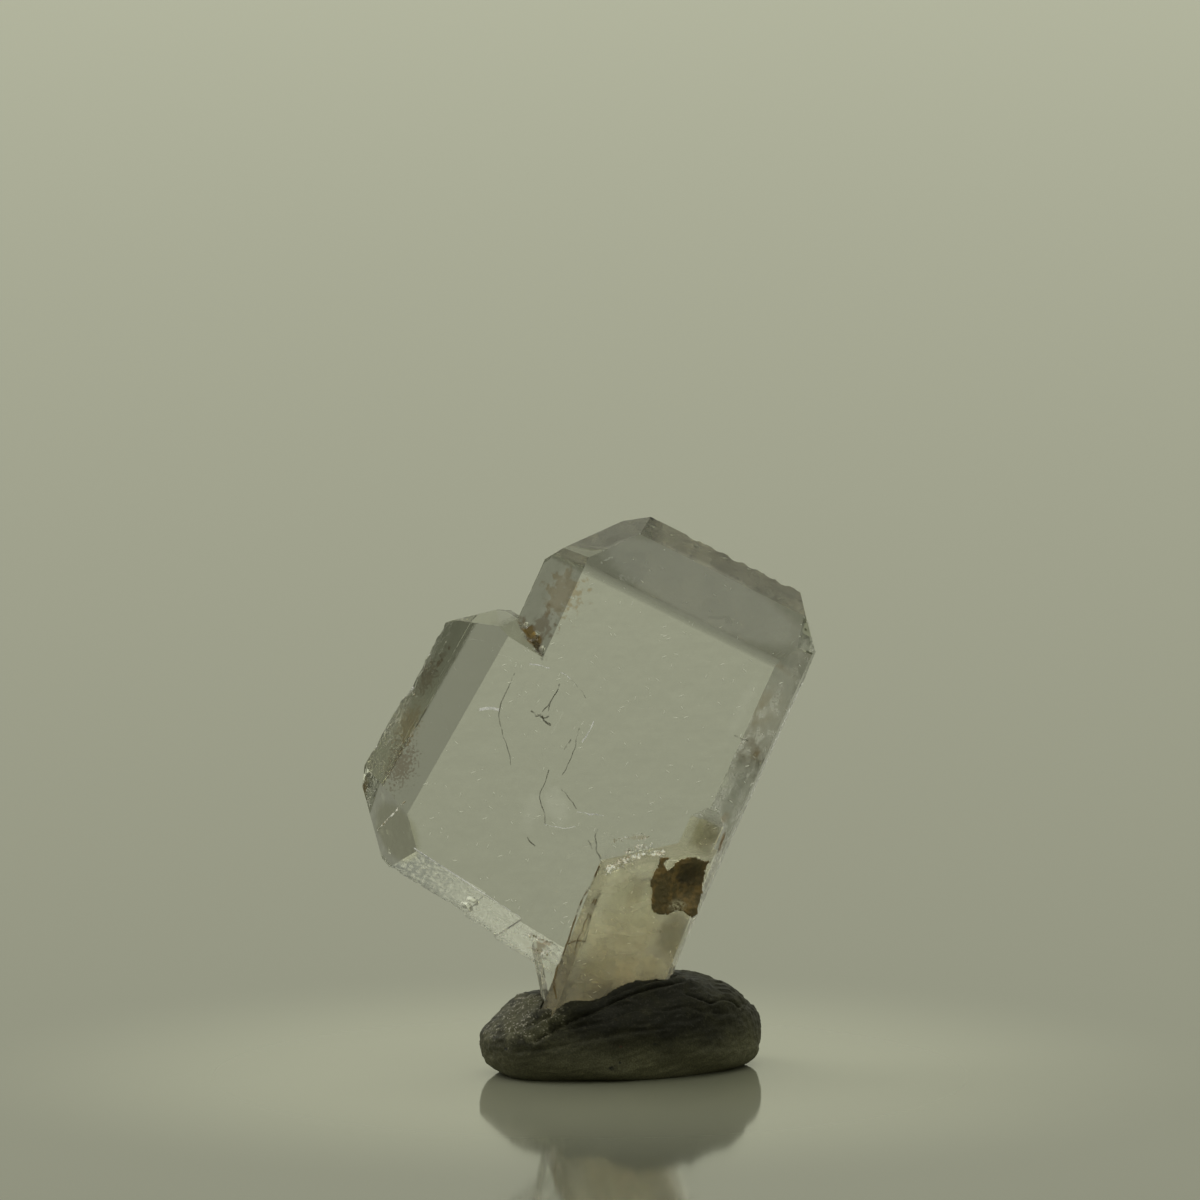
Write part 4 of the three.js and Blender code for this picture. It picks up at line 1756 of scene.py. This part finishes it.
@dataclass(frozen=True)
class Lamp:
    """A round soft light: where it hangs in degrees, its distance and width in mm, its power in watts."""

    name: str
    azimuth: float
    elevation: float
    away: float
    size: float
    power: float


@dataclass
class Studio:
    """The floor, the light and the camera. Lengths are in mm, and angles in degrees."""

    azimuth: float = -22.0
    elevation: float = 6.0
    target: tuple[float, float, float] = (0.391, 0.0, 16.62)
    distance: float = 300.0
    view_width: float = 42.0
    sensor: float = 36.0
    near_clip: float = 1.0
    far_clip: float = 20000.0
    floor_radius: float = 4000.0
    floor_sides: int = 96
    floor_gloss: float = 0.07
    # A painted pool of light on the floor: floor_near within 8 mm of the middle, fading to the darker
    # floor_far by 24 mm
    painted_light_pool: Ramp = Ramp(8.0, 24.0)
    floor_near: Colour = (0.3, 0.307, 0.24)
    floor_far: Colour = (0.13, 0.134, 0.105)
    horizon: Colour = (0.532, 0.545, 0.408)
    zenith: Colour = (0.8, 0.81, 0.66)
    aside: Colour = (0.22, 0.223, 0.172)
    aside_high: Colour = (0.3, 0.305, 0.24)
    sheet_rise: Ramp = Ramp(0.08, 0.55)
    side_rise: Ramp = Ramp(0.2, 0.45)
    top_rise: Ramp = Ramp(0.6, 0.9)
    sheet_edge: Ramp = Ramp(0.6, 0.7)
    light: Colour = (1.0, 0.98, 0.92)
    lamps: tuple[Lamp, ...] = (Lamp("key", -130, 42, 400, 260, 0.5), Lamp("fill", 130, 75, 400, 240, 0.12))
    bounces: int = 12

    def build(self) -> None:
        """Set up the whole studio, and let light take the long ways that it takes in a crystal."""
        self.camera()
        self.floor()
        self.world()
        self.lights()
        view = bpy.context.scene.view_settings
        view.view_transform = "Standard"
        view.look = "None"
        light_paths = bpy.context.scene.cycles
        light_paths.max_bounces = light_paths.transmission_bounces = self.bounces
        light_paths.glossy_bounces = light_paths.transparent_max_bounces = self.bounces

    def direction(self, azimuth: float, elevation: float) -> Vector:
        """Return the direction from the target to a place at an azimuth and an elevation."""
        turn, rise = math.radians(azimuth), math.radians(elevation)
        return Vector((math.sin(turn) * math.cos(rise), -math.cos(turn) * math.cos(rise), math.sin(rise)))

    def camera(self) -> None:
        """Place the camera."""
        data = bpy.data.cameras.new("camera")
        data.sensor_width = self.sensor
        data.lens = self.sensor * self.distance / self.view_width
        data.clip_start, data.clip_end = self.near_clip * MM, self.far_clip * MM
        camera = bpy.data.objects.new("camera", data)
        bpy.context.collection.objects.link(camera)
        away = self.direction(self.azimuth, self.elevation)
        camera.location = (Vector(self.target) + away * self.distance) * MM
        camera.rotation_euler = away.to_track_quat("Z", "Y").to_euler()
        bpy.context.scene.camera = camera

    def floor(self) -> None:
        """Lay a pale, slightly glossy floor, with a painted pool of light: paler within 8 mm of the middle,
        darker beyond 24 mm.
        """
        mesh = bmesh.new()
        radius = self.floor_radius * MM
        bmesh.ops.create_circle(mesh, cap_ends=True, segments=self.floor_sides, radius=radius)
        data = bpy.data.meshes.new("floor")
        mesh.to_mesh(data)
        mesh.free()
        floor = bpy.data.objects.new("floor", data)
        bpy.context.collection.objects.link(floor)
        material, wires, shader = blank("floor")
        away = wires.vector("LENGTH", wires.object_mm()).outputs["Value"]
        # Painted pool of light: paler near the middle, darker further out
        pale = wires.blend(self.painted_light_pool.of(wires, away), self.floor_near, self.floor_far)
        wires.dress(shader, {"Base Color": pale, "Roughness": self.floor_gloss})
        data.materials.append(material)

    def world(self) -> None:
        """Light the room: a bright sheet behind, darker sides, a little brighter above."""
        world = bpy.data.worlds.new("room")
        bpy.context.scene.world = world
        world.use_nodes = True
        wires = Wiring(world.node_tree)
        place = wires.node("ShaderNodeTexCoord").outputs["Generated"]
        rise = wires.axis(place, "Z")
        behind = wires.vector("DOT_PRODUCT", place, -self.direction(self.azimuth, 0)).outputs["Value"]
        sheet = wires.blend(self.sheet_rise.of(wires, rise), self.horizon, self.zenith)
        sides = wires.blend(self.side_rise.of(wires, rise), self.aside, self.aside_high)
        sides = wires.blend(self.top_rise.of(wires, rise), sides, self.zenith)
        colour = wires.blend(self.sheet_edge.of(wires, behind), sides, sheet)
        wires.dress(world.node_tree.nodes["Background"], {"Color": colour})

    def lights(self) -> None:
        """Hang one large soft light behind and above on the left, and a weaker one high overhead, a little
        behind on the right.
        """
        for lamp in self.lamps:
            data = bpy.data.lights.new(lamp.name, "AREA")
            data.shape, data.size = "DISK", lamp.size * MM
            data.energy = lamp.power
            data.color = self.light
            light = bpy.data.objects.new(lamp.name, data)
            bpy.context.collection.objects.link(light)
            out = self.direction(lamp.azimuth, lamp.elevation)
            light.location = (Vector(self.target) + out * lamp.away) * MM
            light.rotation_euler = out.to_track_quat("Z", "Y").to_euler()


def main() -> None:
    """Build the studio and the pieces in order."""
    noise.seed_set(NOISE_SEED)
    logging.basicConfig(level=logging.INFO, format="%(message)s")
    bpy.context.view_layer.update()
    effects = Effects.made()
    Studio().build()
    pieces = [
        TwinCrystal().build(QuartzFinish().build(effects)),
        PuttyLump().build(PuttyFinish().build(effects)),
        IronCrust().build(CrustFinish().build(effects)),
        *(Cracks(kind).build(look.build(effects)) for kind, look in LOOKS.items()),
        Clouds().build(CLOUD_LOOK.build(effects)),
        Flakes().build(FlakeFinish().build(effects)),
    ]
    for piece in pieces:
        log.info("%s: %d faces", piece.name, len(piece.data.polygons))


if __name__ == "__main__":
    main()
